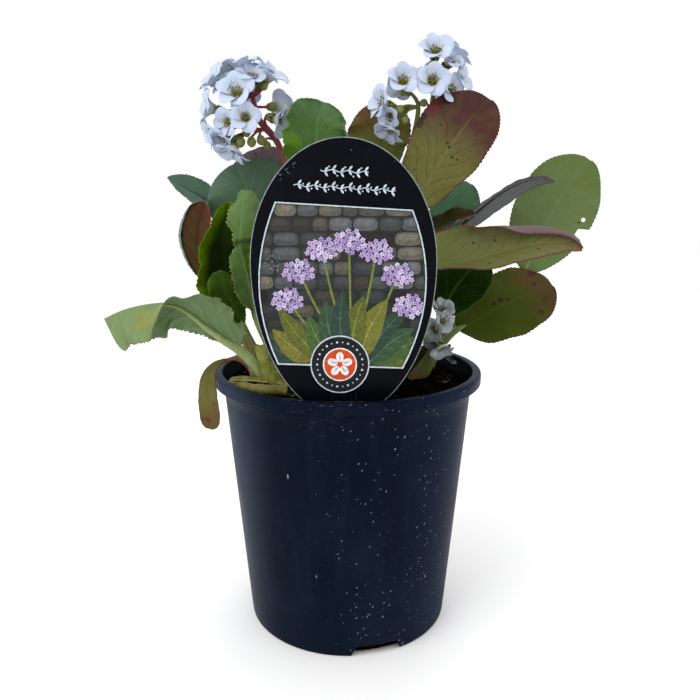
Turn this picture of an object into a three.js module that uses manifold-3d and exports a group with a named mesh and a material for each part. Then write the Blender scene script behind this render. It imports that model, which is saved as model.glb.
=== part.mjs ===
// A flowering bergenia in a round nursery pot, with its plant label.
// Millimetres, +Z up. The origin is the middle of the pot's flat base, and the label's side faces -Y.

import * as THREE from 'three';
import { mergeVertices } from 'three/addons/utils/BufferGeometryUtils.js';
import Module from 'manifold-3d';

const wasm = await Module();
wasm.setup();

// Driving dimensions of the pot

const POT_HEIGHT = 161;
const RIM_RADIUS = 82.5;
const RIM_DROP = 7.3;
const RIM_BORE = 77.2;
const NECK_RADIUS = 76.8;
const FOOT_RADIUS = 63.2;
const WALL = 2.0;
const FLOOR = 2.2;
const NOTCH_COUNT = 3;
const NOTCH_HEIGHT = 6.7;
const NOTCH_LENGTH = 31;
const NOTCH_DEPTH = 11;
const NOTCH_SLOPE = 4;
const NOTCH_ANGLE = THREE.MathUtils.degToRad(-74);
const DRAIN_RADIUS = 4.0;
const DRAIN_LENGTH = 8;
const RIM_EDGE = 1.2;
const BORE_DROP = 3;
const POT_SEGMENTS = 48;
const BEYOND = 6;

// Driving dimensions of the soil, the label and the plant

const CLEARANCE = 0.35;
const SOIL_AT_WALL = 150.5;
const SOIL_CROWN = 5.0;
const SOIL_BUMP = 1.6;
const LABEL_X = -1.8;
const LABEL_Y = -68;
const LABEL_MIDDLE = 231;
const LABEL_HALF_WIDTH = 48;
const LABEL_RISE = 63.2;
const LABEL_FALL = 81;
const LABEL_CUT = 158;
const LABEL_THICKNESS = 0.8;
const STAKE_WIDTH = 16;
const STAKE_FOOT = 118;
const RIB_PLACES = [-6, 0, 6.5];
const BLADE_THICKNESS = 0.9;
const PETAL_THICKNESS = 0.7;
const TOOTH = 0.5;
const PETALS = 5;

// Finishes

const finish = (hex, roughness) => new THREE.MeshStandardMaterial({ color: hex, roughness, metalness: 0 });

// Small helpers: points, easing and solids

const point = (p) => new THREE.Vector3(p[0], p[1], p[2]);
const radians = (list) => list.map((degrees) => THREE.MathUtils.degToRad(degrees));

// Reads a list of values as one smooth run from base to tip.
function alongLeaf(values, t) {
  const spans = values.length - 1;
  const x = THREE.MathUtils.clamp(t, 0, 1) * spans;
  const i = Math.min(Math.floor(x), spans - 1);
  const f = (x - i) * (x - i) * (3 - 2 * (x - i));
  return values[i] * (1 - f) + values[i + 1] * f;
}

function solidOf(positions, triangles) {
  const mesh = new wasm.Mesh({
    numProp: 3,
    vertProperties: new Float32Array(positions),
    triVerts: new Uint32Array(triangles),
  });
  return new wasm.Manifold(mesh);
}

function solidOfGeometry(geometry) {
  const plain = geometry.clone();
  plain.deleteAttribute('normal');
  plain.deleteAttribute('uv');
  const merged = mergeVertices(plain, 1e-4);
  return solidOf(merged.attributes.position.array, merged.index.array);
}

function joined(solids) {
  return solids.reduce((whole, next) => whole.add(next));
}

function meshOf(name, solid, material) {
  const out = solid.getMesh();
  const geometry = new THREE.BufferGeometry();
  geometry.setAttribute('position', new THREE.BufferAttribute(Float32Array.from(out.vertProperties), 3));
  geometry.setIndex(new THREE.BufferAttribute(Uint32Array.from(out.triVerts), 1));
  geometry.computeVertexNormals();
  const mesh = new THREE.Mesh(geometry, material);
  mesh.name = name;
  return mesh;
}

// A smooth line through points, read by its share of length from 0 to 1.
function lineThrough(points) {
  const curve = new THREE.CatmullRomCurve3(points.map(point), false, 'catmullrom', 0.5);
  const steps = 24;
  curve.arcLengthDivisions = steps * (points.length - 1);
  const lengths = curve.getLengths();
  const whole = lengths[lengths.length - 1];
  const shareAt = (index) => lengths[index * steps] / whole;
  return { length: whole, shareAt, at: (t) => curve.getPointAt(Math.min(t, 1)) };
}

function tangentAt(line, t) {
  const reach = 0.004;
  return line.at(Math.min(1, t + reach)).sub(line.at(Math.max(0, t - reach))).normalize();
}

function directionsOf(centres) {
  const last = centres.length - 1;
  return centres.map((_, i) => {
    const ahead = centres[Math.min(i + 1, last)].clone();
    return ahead.sub(centres[Math.max(i - 1, 0)]).normalize();
  });
}

// A round limb: one ring of corners at each centre, turned as little as the bend allows, with closed ends.
function limb(centres, radii, sides, directions = directionsOf(centres)) {
  const positions = [];
  const triangles = [];
  const last = centres.length - 1;
  const first = directions[0];
  const spare = Math.abs(first.z) < 0.8 ? new THREE.Vector3(0, 0, 1) : new THREE.Vector3(1, 0, 0);
  const across = new THREE.Vector3().crossVectors(first, spare).normalize();
  for (let i = 0; i <= last; i += 1) {
    const ahead = directions[i];
    across.addScaledVector(ahead, -across.dot(ahead)).normalize();
    const up = new THREE.Vector3().crossVectors(ahead, across);
    for (let k = 0; k < sides; k += 1) {
      const turn = (2 * Math.PI * k) / sides;
      const corner = centres[i].clone();
      corner.addScaledVector(across, radii[i] * Math.cos(turn));
      corner.addScaledVector(up, radii[i] * Math.sin(turn));
      positions.push(corner.x, corner.y, corner.z);
    }
  }
  for (let i = 0; i < last; i += 1) {
    for (let k = 0; k < sides; k += 1) {
      const a = i * sides + k;
      const b = i * sides + ((k + 1) % sides);
      triangles.push(a, b, b + sides, a, b + sides, a + sides);
    }
  }
  const foot = positions.length / 3;
  positions.push(...centres[0].toArray(), ...centres[last].toArray());
  for (let k = 0; k < sides; k += 1) {
    const next = (k + 1) % sides;
    triangles.push(foot, next, k, foot + 1, last * sides + k, last * sides + next);
  }
  return solidOf(positions, triangles);
}

// A thin sheet: a grid of points with their normals, thickened evenly.
// Both faces are split into the same triangles, so a waved sheet never crosses itself.
function sheet(grid, normals, thickness) {
  const rows = grid.length;
  const columns = grid[0].length;
  const positions = [];
  for (const side of [0.5, -0.5]) {
    for (let i = 0; i < rows; i += 1) {
      for (let j = 0; j < columns; j += 1) {
        const corner = grid[i][j].clone().addScaledVector(normals[i][j], side * thickness);
        positions.push(corner.x, corner.y, corner.z);
      }
    }
  }
  const under = rows * columns;
  const at = (i, j) => i * columns + j;
  const triangles = [];
  for (let i = 0; i < rows - 1; i += 1) {
    for (let j = 0; j < columns - 1; j += 1) {
      const [a, b, c, d] = [at(i, j), at(i, j + 1), at(i + 1, j + 1), at(i + 1, j)];
      triangles.push(a, b, c, a, c, d);
      triangles.push(under + a, under + c, under + b, under + a, under + d, under + c);
    }
  }
  const edge = (a, b) => triangles.push(a, b, under + b, a, under + b, under + a);
  for (let i = 0; i < rows - 1; i += 1) {
    edge(at(i, 0), at(i + 1, 0));
    edge(at(i + 1, columns - 1), at(i, columns - 1));
  }
  for (let j = 0; j < columns - 1; j += 1) {
    edge(at(rows - 1, j), at(rows - 1, j + 1));
    edge(at(0, j + 1), at(0, j));
  }
  return solidOf(positions, triangles);
}

// Pot: one moulded wall, turned about its axis, with arched drain notches in the foot

const wallRadius = (z) => FOOT_RADIUS + ((NECK_RADIUS - FOOT_RADIUS) * z) / (POT_HEIGHT - RIM_DROP);

function turned(profile) {
  const outline = profile.map(([radius, height]) => new THREE.Vector2(radius, height));
  const geometry = new THREE.LatheGeometry(outline, POT_SEGMENTS);
  geometry.rotateX(Math.PI / 2);
  return solidOfGeometry(geometry);
}

function notchBlock(height, length, reach, slope) {
  const half = length / 2;
  const outline = new THREE.Shape();
  outline.moveTo(-half, -BEYOND);
  outline.lineTo(half, -BEYOND);
  outline.lineTo(half, 0);
  outline.lineTo(half - slope, height);
  outline.lineTo(-half + slope, height);
  outline.lineTo(-half, 0);
  outline.closePath();
  const depth = reach + BEYOND;
  const geometry = new THREE.ExtrudeGeometry(outline, { depth, bevelEnabled: false });
  geometry.rotateX(Math.PI / 2);
  geometry.translate(0, FOOT_RADIUS - reach + depth, 0);
  geometry.rotateZ(-Math.PI / 2);
  return geometry;
}

function notches(height, length, reach, slope) {
  const blocks = [];
  for (let k = 0; k < NOTCH_COUNT; k += 1) {
    const geometry = notchBlock(height, length, reach, slope);
    geometry.rotateZ(NOTCH_ANGLE + (2 * Math.PI * k) / NOTCH_COUNT);
    blocks.push(solidOfGeometry(geometry));
  }
  return joined(blocks);
}

function makePot() {
  const neck = POT_HEIGHT - RIM_DROP;
  const roof = NOTCH_HEIGHT + WALL + BEYOND;
  const shell = turned([
    [0, 0], [FOOT_RADIUS, 0], [NECK_RADIUS, neck], [RIM_RADIUS, neck + 0.4],
    [RIM_RADIUS, POT_HEIGHT - RIM_EDGE], [RIM_RADIUS - RIM_EDGE, POT_HEIGHT],
    [RIM_BORE, POT_HEIGHT], [RIM_BORE - RIM_EDGE, neck - BORE_DROP],
    [FOOT_RADIUS - WALL + 0.2, FLOOR], [0, FLOOR],
  ]);
  const reach = (z) => wallRadius(z) - WALL / 2;
  const inside = turned([[0, 0], [reach(0), 0], [reach(roof), roof], [0, roof]]);
  const length = NOTCH_LENGTH + 2 * WALL;
  const pockets = notches(NOTCH_HEIGHT + WALL, length, NOTCH_DEPTH + WALL, NOTCH_SLOPE - 1);
  const holes = [];
  for (let k = 0; k < NOTCH_COUNT; k += 1) {
    const drain = new THREE.CylinderGeometry(DRAIN_RADIUS, DRAIN_RADIUS, DRAIN_LENGTH, 16);
    drain.rotateX(Math.PI / 2);
    drain.translate(FOOT_RADIUS - NOTCH_DEPTH * 0.5, 0, NOTCH_HEIGHT + 2);
    drain.rotateZ(NOTCH_ANGLE + (2 * Math.PI * k) / NOTCH_COUNT);
    holes.push(solidOfGeometry(drain));
  }
  const cut = notches(NOTCH_HEIGHT, NOTCH_LENGTH, NOTCH_DEPTH, NOTCH_SLOPE);
  return shell.add(pockets.intersect(inside)).subtract(cut).subtract(joined(holes));
}

// Leaves: a petiole and a rib on one line, and a blade whose halves fold and curl along it

// stem and rib: points from the crown to the tip. face: the way the upper side looks, from base to tip.
// fold and curl: how far each half rises at the rib and rolls to its edge, in degrees, from base to tip.
// shape: how late and how blunt the blade is. width: half its breadth. stalk: the petiole's radii.
// spread: how broad each half is beside that width, from base to tip. wave: its share of the edge's wave.
const flat = [0, 0];
const even = [1, 1];
const LEAVES = [
  {
    name: 'leaf_reaching_left',
    stem: [[-46, -37, 146], [-48, -38, 162], [-55, -38, 173]],
    rib: [[-62, -38, 180], [-71, -39, 188], [-80, -40, 195], [-88, -41, 202], [-97, -42, 207],
      [-109, -43, 207], [-123, -44, 204], [-135, -45, 199]],
    width: 21, shape: [0.5, 0.42], stalk: [3.2, 3.0], colour: 0x85a070,
    face: [[0.1, 0.8, 0.6], [0, 0.75, 0.65], [-0.1, 0.55, 0.85], [0, 0.1, 1], [0, 0, 1]],
    foldLeft: [25, 20, -5, -65, -80], foldRight: [-10, -25, -45, -60, -60],
    curlLeft: [10, -5, -20, -15, -10], curlRight: [-10, -10, -20, -20, -20],
    spreadLeft: [1.4, 1.2, 1.1, 1, 1], spreadRight: [0.3, 0.35, 0.6, 0.95, 1, 1],
  },
  {
    name: 'leaf_left_point',
    stem: [[-42, -6, 146], [-46, 14, 185], [-54, 28, 222]],
    rib: [[-78, 34, 255], [-90, 36, 262], [-102, 37, 269], [-116, 38, 277]],
    width: 11.5, shape: [0.75, 0.8], wave: 0.2, colour: 0x507864,
    face: [[-0.3, 0.6, 0.7]], foldLeft: [10], foldRight: [10],
  },
  {
    name: 'leaf_left_round',
    stem: [[-36, -13, 146], [-41, 2, 180], [-48, 14, 208]],
    rib: [[-50, 18, 232], [-56, 20, 250], [-62, 21, 268], [-70, 22, 285]],
    width: 27.5, colour: 0x55735f,
    face: [[-0.1, -0.85, 0.5]], foldLeft: [8], foldRight: [8],
  },
  {
    name: 'leaf_left_purple',
    stem: [[-34, -3, 146], [-36, 14, 190], [-42, 26, 215]],
    rib: [[-45, 29, 238], [-49, 30, 260], [-54, 30, 279], [-59, 30, 294]],
    width: 25.5, colour: 0x5f5055,
    face: [[-0.1, -0.9, 0.4]],
  },
  {
    name: 'leaf_left_red',
    stem: [[-52, -11, 146], [-62, 2, 172], [-76, 10, 196]],
    rib: [[-87, 12, 212], [-91, 12, 225], [-93, 12, 242], [-88, 12, 262]],
    width: 13, colour: 0x6e3219,
    face: [[-0.35, -0.85, 0.3]], foldLeft: [20], foldRight: [20],
  },
  {
    name: 'leaf_left_cupped',
    stem: [[-52, -20, 146], [-56, -14, 172]],
    rib: [[-68, -5, 197], [-72.5, -2, 209], [-76, 1.5, 226], [-76, 3, 242], [-73, 3, 254], [-71, 1, 262]],
    width: 18, shape: [0.28, 0.5], colour: 0x5a8214,
    face: [[0.1, -0.9, 0.4]], foldLeft: [25, 25, 30], foldRight: [5],
    curlLeft: [20, 30, 40], curlRight: [5, 5, 5],
    spreadLeft: [1.2, 1.2, 1, 0.8, 0.7], spreadRight: [1.1],
  },
  {
    name: 'leaf_left_young',
    stem: [[-45, -21, 146], [-51, -17.5, 167]],
    rib: [[-62, -16.5, 190], [-68, -17, 202], [-73, -17, 212], [-77, -16, 222]],
    width: 9.5, stalk: [1.8, 1.4], colour: 0x284614,
    face: [[0.3, -0.9, 0.3]],
  },
  {
    name: 'leaf_left_curl',
    stem: [[-39, -29, 146], [-43, -26, 170]],
    rib: [[-53, -22, 193], [-56, -21, 206], [-59.5, -20, 224], [-62, -20, 237], [-61, -19, 248],
      [-60, -18, 259], [-58, -17, 269]],
    width: 11, shape: [0.45, 0.35], colour: 0x739650,
    face: [[0.3, -0.9, 0.2], [0.3, -0.95, 0.2], [0, -0.95, 0.25], [-0.1, -0.95, 0.3]],
    foldLeft: [10, 15, 0, -10], foldRight: [-80, -80, -75, -20, 5, 10],
    curlLeft: [15, 10, 0, -20, -50], curlRight: [0, 0, 0, -20, -45, -45],
    spreadLeft: [0.5, 0.35, 0.85, 0.95, 0.92, 0.88, 0.7, 0.3, 0.35, 0.75, 0.95, 1, 1.1],
    spreadRight: [0.3, 0.3, 0.3, 0.3, 0.3, 0.3, 0.3, 0.35, 1.15, 1.2, 1.2, 1.3, 1.2],
  },
  {
    name: 'leaf_left_dry',
    stem: [[-50, -24.5, 146], [-54, -23.8, 158], [-60, -23.5, 168]],
    rib: [[-66, -24, 171.5], [-72.5, -27, 171.3], [-78, -29, 168], [-81.3, -31, 161.4],
      [-81.8, -33, 151.6], [-81, -34, 141.6], [-81.4, -34, 131]],
    width: 8.2, shape: [1.5, 0.4], stalk: [1.6, 1.5], wave: 0.2, colour: 0x7d783c,
    face: [[0.2, -0.6, 0.8], [-0.1, -0.7, 0.6], [-0.55, -0.8, 0.2], [-0.5, -0.85, 0.1]],
  },
  {
    name: 'leaf_top_green',
    stem: [[-12, 5, 146], [-14, 6, 190], [-14, 4, 235]],
    rib: [[-18, 2, 276], [-18, 2, 292], [-18, 2, 306], [-14, 2, 319]],
    width: 20.5, shape: [0.65, 0.42], colour: 0x507d46,
    face: [[0.05, -0.95, 0.3]], foldLeft: [10, 20, 20], foldRight: [5], curlLeft: [0, 30, 30],
    spreadLeft: [1.3, 1.3, 1.1, 1],
  },
  {
    name: 'leaf_back_brown',
    stem: [[8, 16, 146], [13, 20, 200], [17, 23, 240]],
    rib: [[23, 24, 280], [21, 26, 295], [19, 27, 310], [15, 28, 321]],
    width: 20, colour: 0x554b23,
    face: [[0.1, -0.9, 0.4]],
  },
  {
    name: 'leaf_right_top',
    stem: [[28, -4, 146], [29, -8, 190], [34, -11, 225]],
    rib: [[37, -11, 254], [44, -11, 268], [53, -10, 284], [66, -9, 303], [80, -8, 320]],
    width: 21, shape: [0.75, 0.42], colour: 0x695537,
    face: [[-0.15, -0.85, 0.5]], spreadLeft: [1, 1.15, 1.25, 1.2],
  },
  {
    name: 'leaf_right_blue',
    stem: [[33, 16, 146], [36, 15, 190], [43, 18, 215]],
    rib: [[56, 20, 232], [63, 20, 248], [70, 20, 263], [76, 20, 273]],
    width: 15, colour: 0x3c644b,
    face: [[0.1, -0.8, 0.6]],
  },
  {
    name: 'leaf_right_small',
    stem: [[36, 7, 146], [37, -1, 190], [40, -7, 215]],
    rib: [[43, -8, 234], [53, -7, 245], [65, -6, 251], [76, -5, 255]],
    width: 9, colour: 0x5a5532,
    face: [[0.1, -0.4, 0.9]], foldLeft: [30], foldRight: [30],
  },
  {
    name: 'leaf_right_purple',
    stem: [[43, 5, 146], [45, 4, 190], [52, 5, 220]],
    rib: [[62, 8, 241], [79, 8, 257], [93, 9, 267.5], [105, 9, 273.5], [116, 8, 276], [125, 7, 274]],
    width: 12, shape: [0.75, 0.8], wave: 0.2, colour: 0x827d8c,
    face: [[-0.1, 0.5, 0.87]], foldLeft: [-20], foldRight: [-20],
  },
  {
    name: 'leaf_right_far',
    stem: [[49, 14, 146], [60, 17, 176], [83, 21, 192], [104, 22, 206]],
    rib: [[113, 22, 218], [121, 23, 236], [131, 25, 257], [140, 26, 274], [151, 27, 288]],
    width: 25, shape: [0.6, 0.5], colour: 0x55733c,
    face: [[-0.1, -0.85, 0.5]],
  },
  {
    name: 'leaf_right_long',
    stem: [[28, -11, 146], [31, -20, 182], [31, -27, 207]],
    rib: [[33, -29, 222], [46, -30, 227], [60, -30, 228.5], [74, -30, 230], [90, -30, 233],
      [108, -30.5, 236.5], [122, -31, 237.5], [132, -32, 235.5]],
    width: 19, shape: [0.35, 0.6], wave: 0.4, colour: 0x787d46,
    face: [[0, -0.75, 0.65]], foldRight: [20, 32, 25], curlLeft: [10, 20, 60, 90, 90],
    spreadLeft: [1.2, 1.25, 1.15, 1.15, 1.1],
  },
  {
    name: 'leaf_right_dark',
    stem: [[40, -4, 146], [45, -9, 168]],
    rib: [[56, -12, 193], [62, -10, 207], [70, -7, 218], [82, -3, 230]],
    width: 17, colour: 0x193c00,
    face: [[0.1, -0.7, 0.7]],
  },
  {
    name: 'leaf_right_low',
    stem: [[48, 4, 146], [54, -1, 166], [60, -3, 177]],
    rib: [[68, -3, 185], [82, 1, 191], [96, 3, 199], [113, 6, 206], [127, 8, 212]],
    width: 24, shape: [0.55, 0.45], colour: 0x5a5523,
    face: [[0, -0.7, 0.7]],
  },
  {
    name: 'leaf_back_left',
    stem: [[-12, 16, 146], [-20, 26, 185]],
    rib: [[-28, 34, 208], [-34, 48, 232], [-40, 62, 252], [-44, 76, 262]],
    width: 21, colour: 0x466e3c,
    face: [[-0.2, 0.3, 0.95]], foldLeft: [10, 5, -10], foldRight: [10, 5, -10],
  },
  {
    name: 'leaf_back_right',
    stem: [[20, 18, 146], [27, 27, 180]],
    rib: [[31, 36, 200], [36, 52, 222], [40, 70, 238], [42, 86, 240]],
    width: 22, colour: 0x4b6e3c,
    face: [[0.2, 0.3, 0.95]], foldLeft: [10, 5, -10], foldRight: [10, 5, -10],
  },
  {
    name: 'leaf_back_low',
    stem: [[0, 26, 146], [0, 38, 172]],
    rib: [[-2, 50, 184], [-4, 68, 192], [-8, 87, 191], [-10, 104, 180]],
    width: 21, colour: 0x505a37,
    face: [[0, 0.1, 1]], foldLeft: [12, 5, -15], foldRight: [12, 5, -15],
  },
  {
    name: 'leaf_middle_left',
    stem: [[-18, -8, 146], [-19, -12, 175]],
    rib: [[-20, -18, 192], [-23, -28, 215], [-26, -38, 238], [-26, -47, 258]],
    width: 19, colour: 0x55783c,
    face: [[0, 0.4, 0.9]], foldLeft: [10, 5, -10], foldRight: [10, 5, -10],
  },
  {
    name: 'leaf_middle_right',
    stem: [[12, -10, 146], [12, -15, 175]],
    rib: [[12, -21, 190], [13, -31, 210], [13, -43, 228], [11, -54, 240]],
    width: 14, colour: 0x55733c,
    face: [[0, 0.4, 0.9]], foldLeft: [10, 5, -10], foldRight: [10, 5, -10],
  },
];

const PETIOLE_SIDES = 5;
const BLADE_ROWS = 12;
const STALK = [2.5, 2.0];
const SHAPE = [0.75, 0.5];

// The blade starts and ends a little way in, so that its end rows have a width.
const stationAt = (share) => (1 - Math.cos(Math.PI * (0.06 + 0.905 * share))) / 2;

function pair(values, fallback) {
  const list = values ?? fallback;
  return list.length > 1 ? list : [list[0], list[0]];
}

function bladeOf(leaf, line, rows, columns) {
  const start = line.shareAt(leaf.stem.length);
  const [late, blunt] = leaf.shape ?? SHAPE;
  const widest = late / (late + blunt);
  const peak = widest ** late * (1 - widest) ** blunt;
  const faces = leaf.face.length > 1 ? leaf.face : [leaf.face[0], leaf.face[0]];
  const folds = [pair(leaf.foldLeft, flat), pair(leaf.foldRight, flat)].map(radians);
  const curls = [pair(leaf.curlLeft, flat), pair(leaf.curlRight, flat)].map(radians);
  const spreads = [pair(leaf.spreadLeft, even), pair(leaf.spreadRight, even)];
  const grid = [];
  const normals = [];
  for (let i = 0; i <= rows; i += 1) {
    const t = stationAt(i / rows);
    const centre = line.at(start + (1 - start) * t);
    const ahead = tangentAt(line, start + (1 - start) * t);
    const up = new THREE.Vector3(...[0, 1, 2].map((axis) => alongLeaf(faces.map((f) => f[axis]), t)));
    up.addScaledVector(ahead, -up.dot(ahead)).normalize();
    const right = new THREE.Vector3().crossVectors(ahead, up);
    const row = [];
    const rowNormals = [];
    for (let j = -columns; j <= columns; j += 1) {
      const side = j < 0 ? -1 : 1;
      const half = j < 0 ? 0 : 1;
      const v = Math.abs(j) / columns;
      const plain = (leaf.width * alongLeaf(spreads[half], t) * t ** late * (1 - t) ** blunt) / peak;
      const reach = plain + (i % 2 ? TOOTH : -TOOTH) * Math.min(1, plain / 4);
      const fold = alongLeaf(folds[half], t);
      const curl = alongLeaf(curls[half], t);
      const angle = fold + curl * v;
      const bent = Math.abs(curl) > 1e-4;
      const out = bent ? (Math.sin(angle) - Math.sin(fold)) / curl : v * Math.cos(fold);
      const rise = bent ? (Math.cos(fold) - Math.cos(angle)) / curl : v * Math.sin(fold);
      const normal = right.clone().multiplyScalar(-Math.sin(angle) * side);
      normal.addScaledVector(up, Math.cos(angle));
      const corner = centre.clone().addScaledVector(right, side * reach * out);
      corner.addScaledVector(up, reach * rise);
      row.push(corner.addScaledVector(normal, (leaf.wave ?? 1) * edgeWave(t, v, side, reach)));
      rowNormals.push(j === 0 ? up.clone() : normal);
    }
    grid.push(row);
    normals.push(rowNormals);
  }
  return sheet(grid, normals, BLADE_THICKNESS);
}

const WAVE_HEIGHT = 1.2;
const WAVE_COUNT = 3;
const WAVE_SHIFT = 1.3;

function edgeWave(t, v, side, reach) {
  const phase = 2 * Math.PI * WAVE_COUNT * t + (side > 0 ? WAVE_SHIFT : 0);
  return WAVE_HEIGHT * Math.sin(phase) * v * v * Math.min(1, reach / 6);
}

// The petiole runs on under the blade as its keel, thinning to the rib.
const BURIED = 14;
const PETIOLE_SHARES = [0.4, 0.7, 1];
const KEEL_SHARES = [0.14];
const KEEL_TIP = 0.7;

function petioleRings(leaf, line) {
  const start = line.shareAt(leaf.stem.length);
  const [base, top] = leaf.stalk ?? STALK;
  const low = BURIED / (start * line.length);
  const rings = [0, low, ...PETIOLE_SHARES.map((share) => low + (1 - low) * share)].map((share) => (
    [line.at(start * share), base + (top - base) * share]
  ));
  KEEL_SHARES.forEach((share, i) => {
    const radius = top + ((KEEL_TIP - top) * (i + 1)) / KEEL_SHARES.length;
    rings.push([line.at(start + (1 - start) * share), radius]);
  });
  return rings;
}

function makeLeaf(leaf) {
  const line = lineThrough([...leaf.stem, ...leaf.rib]);
  const rings = petioleRings(leaf, line);
  const petiole = limb(rings.map((r) => r[0]), rings.map((r) => r[1]), PETIOLE_SIDES);
  return petiole.add(bladeOf(leaf, line, BLADE_ROWS, leaf.curlLeft ? 2 : 1));
}

// The plain hole that a stem stands in: its own lowest rings, a little wider and deeper.
const HOLE_RINGS = 2;

function holeFor(rings, sides, count = HOLE_RINGS) {
  const directions = directionsOf(rings.map((r) => r[0])).slice(0, count);
  const low = rings.slice(0, count);
  const centres = low.map((r) => r[0].clone());
  centres[0].addScaledVector(directions[0], -CLEARANCE);
  return limb(centres, low.map((r) => r[1] + CLEARANCE), sides, directions);
}

// Flower stalks: the scape, a pedicel to each bloom and the green cup that the bloom sits in

// line and radii: the scape. blooms: middle of the open flower, the way it looks, its size, the point of
// the scape that its pedicel leaves, and its turn about its own axis.
const SCAPES = [
  {
    name: 'left', colour: 0x96404a,
    line: [[-20, 5, 146], [-20, 10, 203], [-27, 13, 254], [-38, 14, 286], [-43, 13, 298], [-48, 12, 304],
      [-53, 11, 310], [-55, 10, 317], [-56, 9, 323]],
    radii: [3, 2.6, 2.3, 1.6, 2.0, 2.2, 2.0, 1.7, 1.3],
    blooms: [
      { middle: [-63, -4, 323], looks: [-0.15, -0.85, 0.5], size: 1.4, from: 6, turn: 0.2 },
      { middle: [-58, -9, 309], looks: [0.1, -0.95, 0.1], size: 1.1, from: 7, turn: 0 },
      { middle: [-69, -4, 307], looks: [-0.5, -0.8, -0.1], size: 1.05, from: 7, turn: 0.4 },
      { middle: [-79, 1, 315], looks: [-0.9, -0.35, 0.15], size: 1.3, from: 7, turn: 0.1 },
      { middle: [-46, 4, 333], looks: [0.6, -0.2, 0.75], size: 1.4, from: 8, turn: 0.3 },
      { middle: [-41, 3, 309], looks: [0.85, -0.3, -0.3], size: 1.25, from: 5, turn: 0.5 },
      { middle: [-67, 0, 293], looks: [-0.3, -0.3, -0.9], size: 1.35, from: 5, turn: 0.2 },
      { middle: [-62, 9, 338], looks: [-0.15, -0.1, 1], size: 1.4, from: 8, turn: 0 },
      { middle: [-63, 22, 322], looks: [-0.1, 0.85, 0.4], size: 1.3, from: 7, turn: 0.3 },
      { middle: [-77, 7, 331], looks: [-0.7, -0.4, 0.6], size: 1.3, from: 8, turn: 0.3 },
      { middle: [-43, 18, 318], looks: [0.6, 0.7, 0.1], size: 1.2, from: 7, turn: 0.1 },
    ],
  },
  {
    name: 'middle', colour: 0x6e783c,
    line: [[15, 6, 146], [25, 8, 227], [32, 10, 275], [39, 9, 298], [42, 9, 317], [38, 8, 324]],
    radii: [2.6, 2.4, 2.0, 1.7, 1.4, 1.0],
    blooms: [
      { middle: [32, 0, 330], looks: [0.1, -0.9, 0.4], size: 1.25, from: 5, turn: 0.1 },
      { middle: [21, 2, 318], looks: [-0.85, -0.45, 0.2], size: 1.25, from: 4, turn: 0.3 },
      { middle: [25, 2, 304], looks: [-0.4, -0.35, -0.85], size: 1.2, from: 4, turn: 0.2 },
      { middle: [33, 20, 329], looks: [-0.1, 0.8, 0.5], size: 1.2, from: 5, turn: 0.5 },
    ],
  },
  {
    name: 'right', colour: 0x6e783c,
    line: [[24, 4, 146], [35, 12, 226], [45, 14, 281], [50, 13, 310], [51, 13, 323], [54, 13, 334]],
    radii: [2.6, 2.4, 2.1, 1.8, 1.5, 1.1],
    blooms: [
      { middle: [51, 6, 347], looks: [0, -0.8, 0.6], size: 1.35, from: 5, turn: 0.3 },
      { middle: [49, -1, 330], looks: [0, -0.98, 0.15], size: 1.25, from: 4, turn: 0 },
      { middle: [65, 8, 333], looks: [0.8, -0.4, 0.3], size: 1.2, from: 5, turn: 0.2 },
      { middle: [58, 9.5, 321.5], looks: [0.4, -0.8, -0.4], size: 1.05, from: 4, turn: 0.5 },
      { middle: [63, 16, 345], looks: [0.6, 0.2, 0.7], size: 1.25, from: 5, turn: 0.4 },
      { middle: [52, 26, 336], looks: [-0.2, 0.9, 0.2], size: 1.25, from: 5, turn: 0.1 },
    ],
  },
  {
    name: 'low', colour: 0x8f9a4e,
    line: [[38, -13, 146], [42, -16, 157], [48, -19, 168], [53, -22, 182], [54, -22, 194]],
    radii: [6.2, 6.0, 4.2, 1.8, 1.1],
    blooms: [
      { middle: [55, -27, 201], looks: [0.2, -0.6, 0.75], size: 0.95, from: 4, turn: 0.1 },
      { middle: [50, -34, 191], looks: [-0.6, -0.8, -0.1], size: 0.95, from: 3, turn: 0.3 },
      { middle: [53, -38, 181], looks: [0.2, -0.65, -0.7], size: 0.95, from: 3, turn: 0.5 },
    ],
  },
];

const SCAPE_SIDES = 6;
const SCAPE_STEPS = 10;
const PEDICEL_SIDES = 4;
const PEDICEL_RADIUS = 0.85;
const CUP_HEIGHT = 3.4;
const CUP_RADIUS = 2.4;
const CUP_SHOULDER = 2.0;
const CUP_GAP = 0.3;
const BELL_HEIGHT = 3.0;

function scapeRings(scape) {
  const line = lineThrough(scape.line);
  const rings = [];
  const marks = scape.line.map((_, i) => line.shareAt(i));
  const low = BURIED / line.length;
  for (let i = 0; i <= SCAPE_STEPS; i += 1) {
    const t = i < 2 ? i * low : low + ((1 - low) * (i - 1)) / (SCAPE_STEPS - 1);
    const k = Math.min(marks.findLastIndex((m) => m <= t), marks.length - 2);
    const f = (t - marks[k]) / (marks[k + 1] - marks[k]);
    rings.push([line.at(t), scape.radii[k] * (1 - f) + scape.radii[k + 1] * f]);
  }
  return rings;
}

// Where a bloom sits: its axis, the foot of its petals and the foot of its green cup.
function seatOf(bloom) {
  const axis = point(bloom.looks).normalize();
  const petalFoot = point(bloom.middle).addScaledVector(axis, -BELL_HEIGHT * bloom.size);
  const cupFoot = petalFoot.clone().addScaledVector(axis, -CUP_HEIGHT - CUP_GAP);
  return { axis, petalFoot, cupFoot };
}

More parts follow.
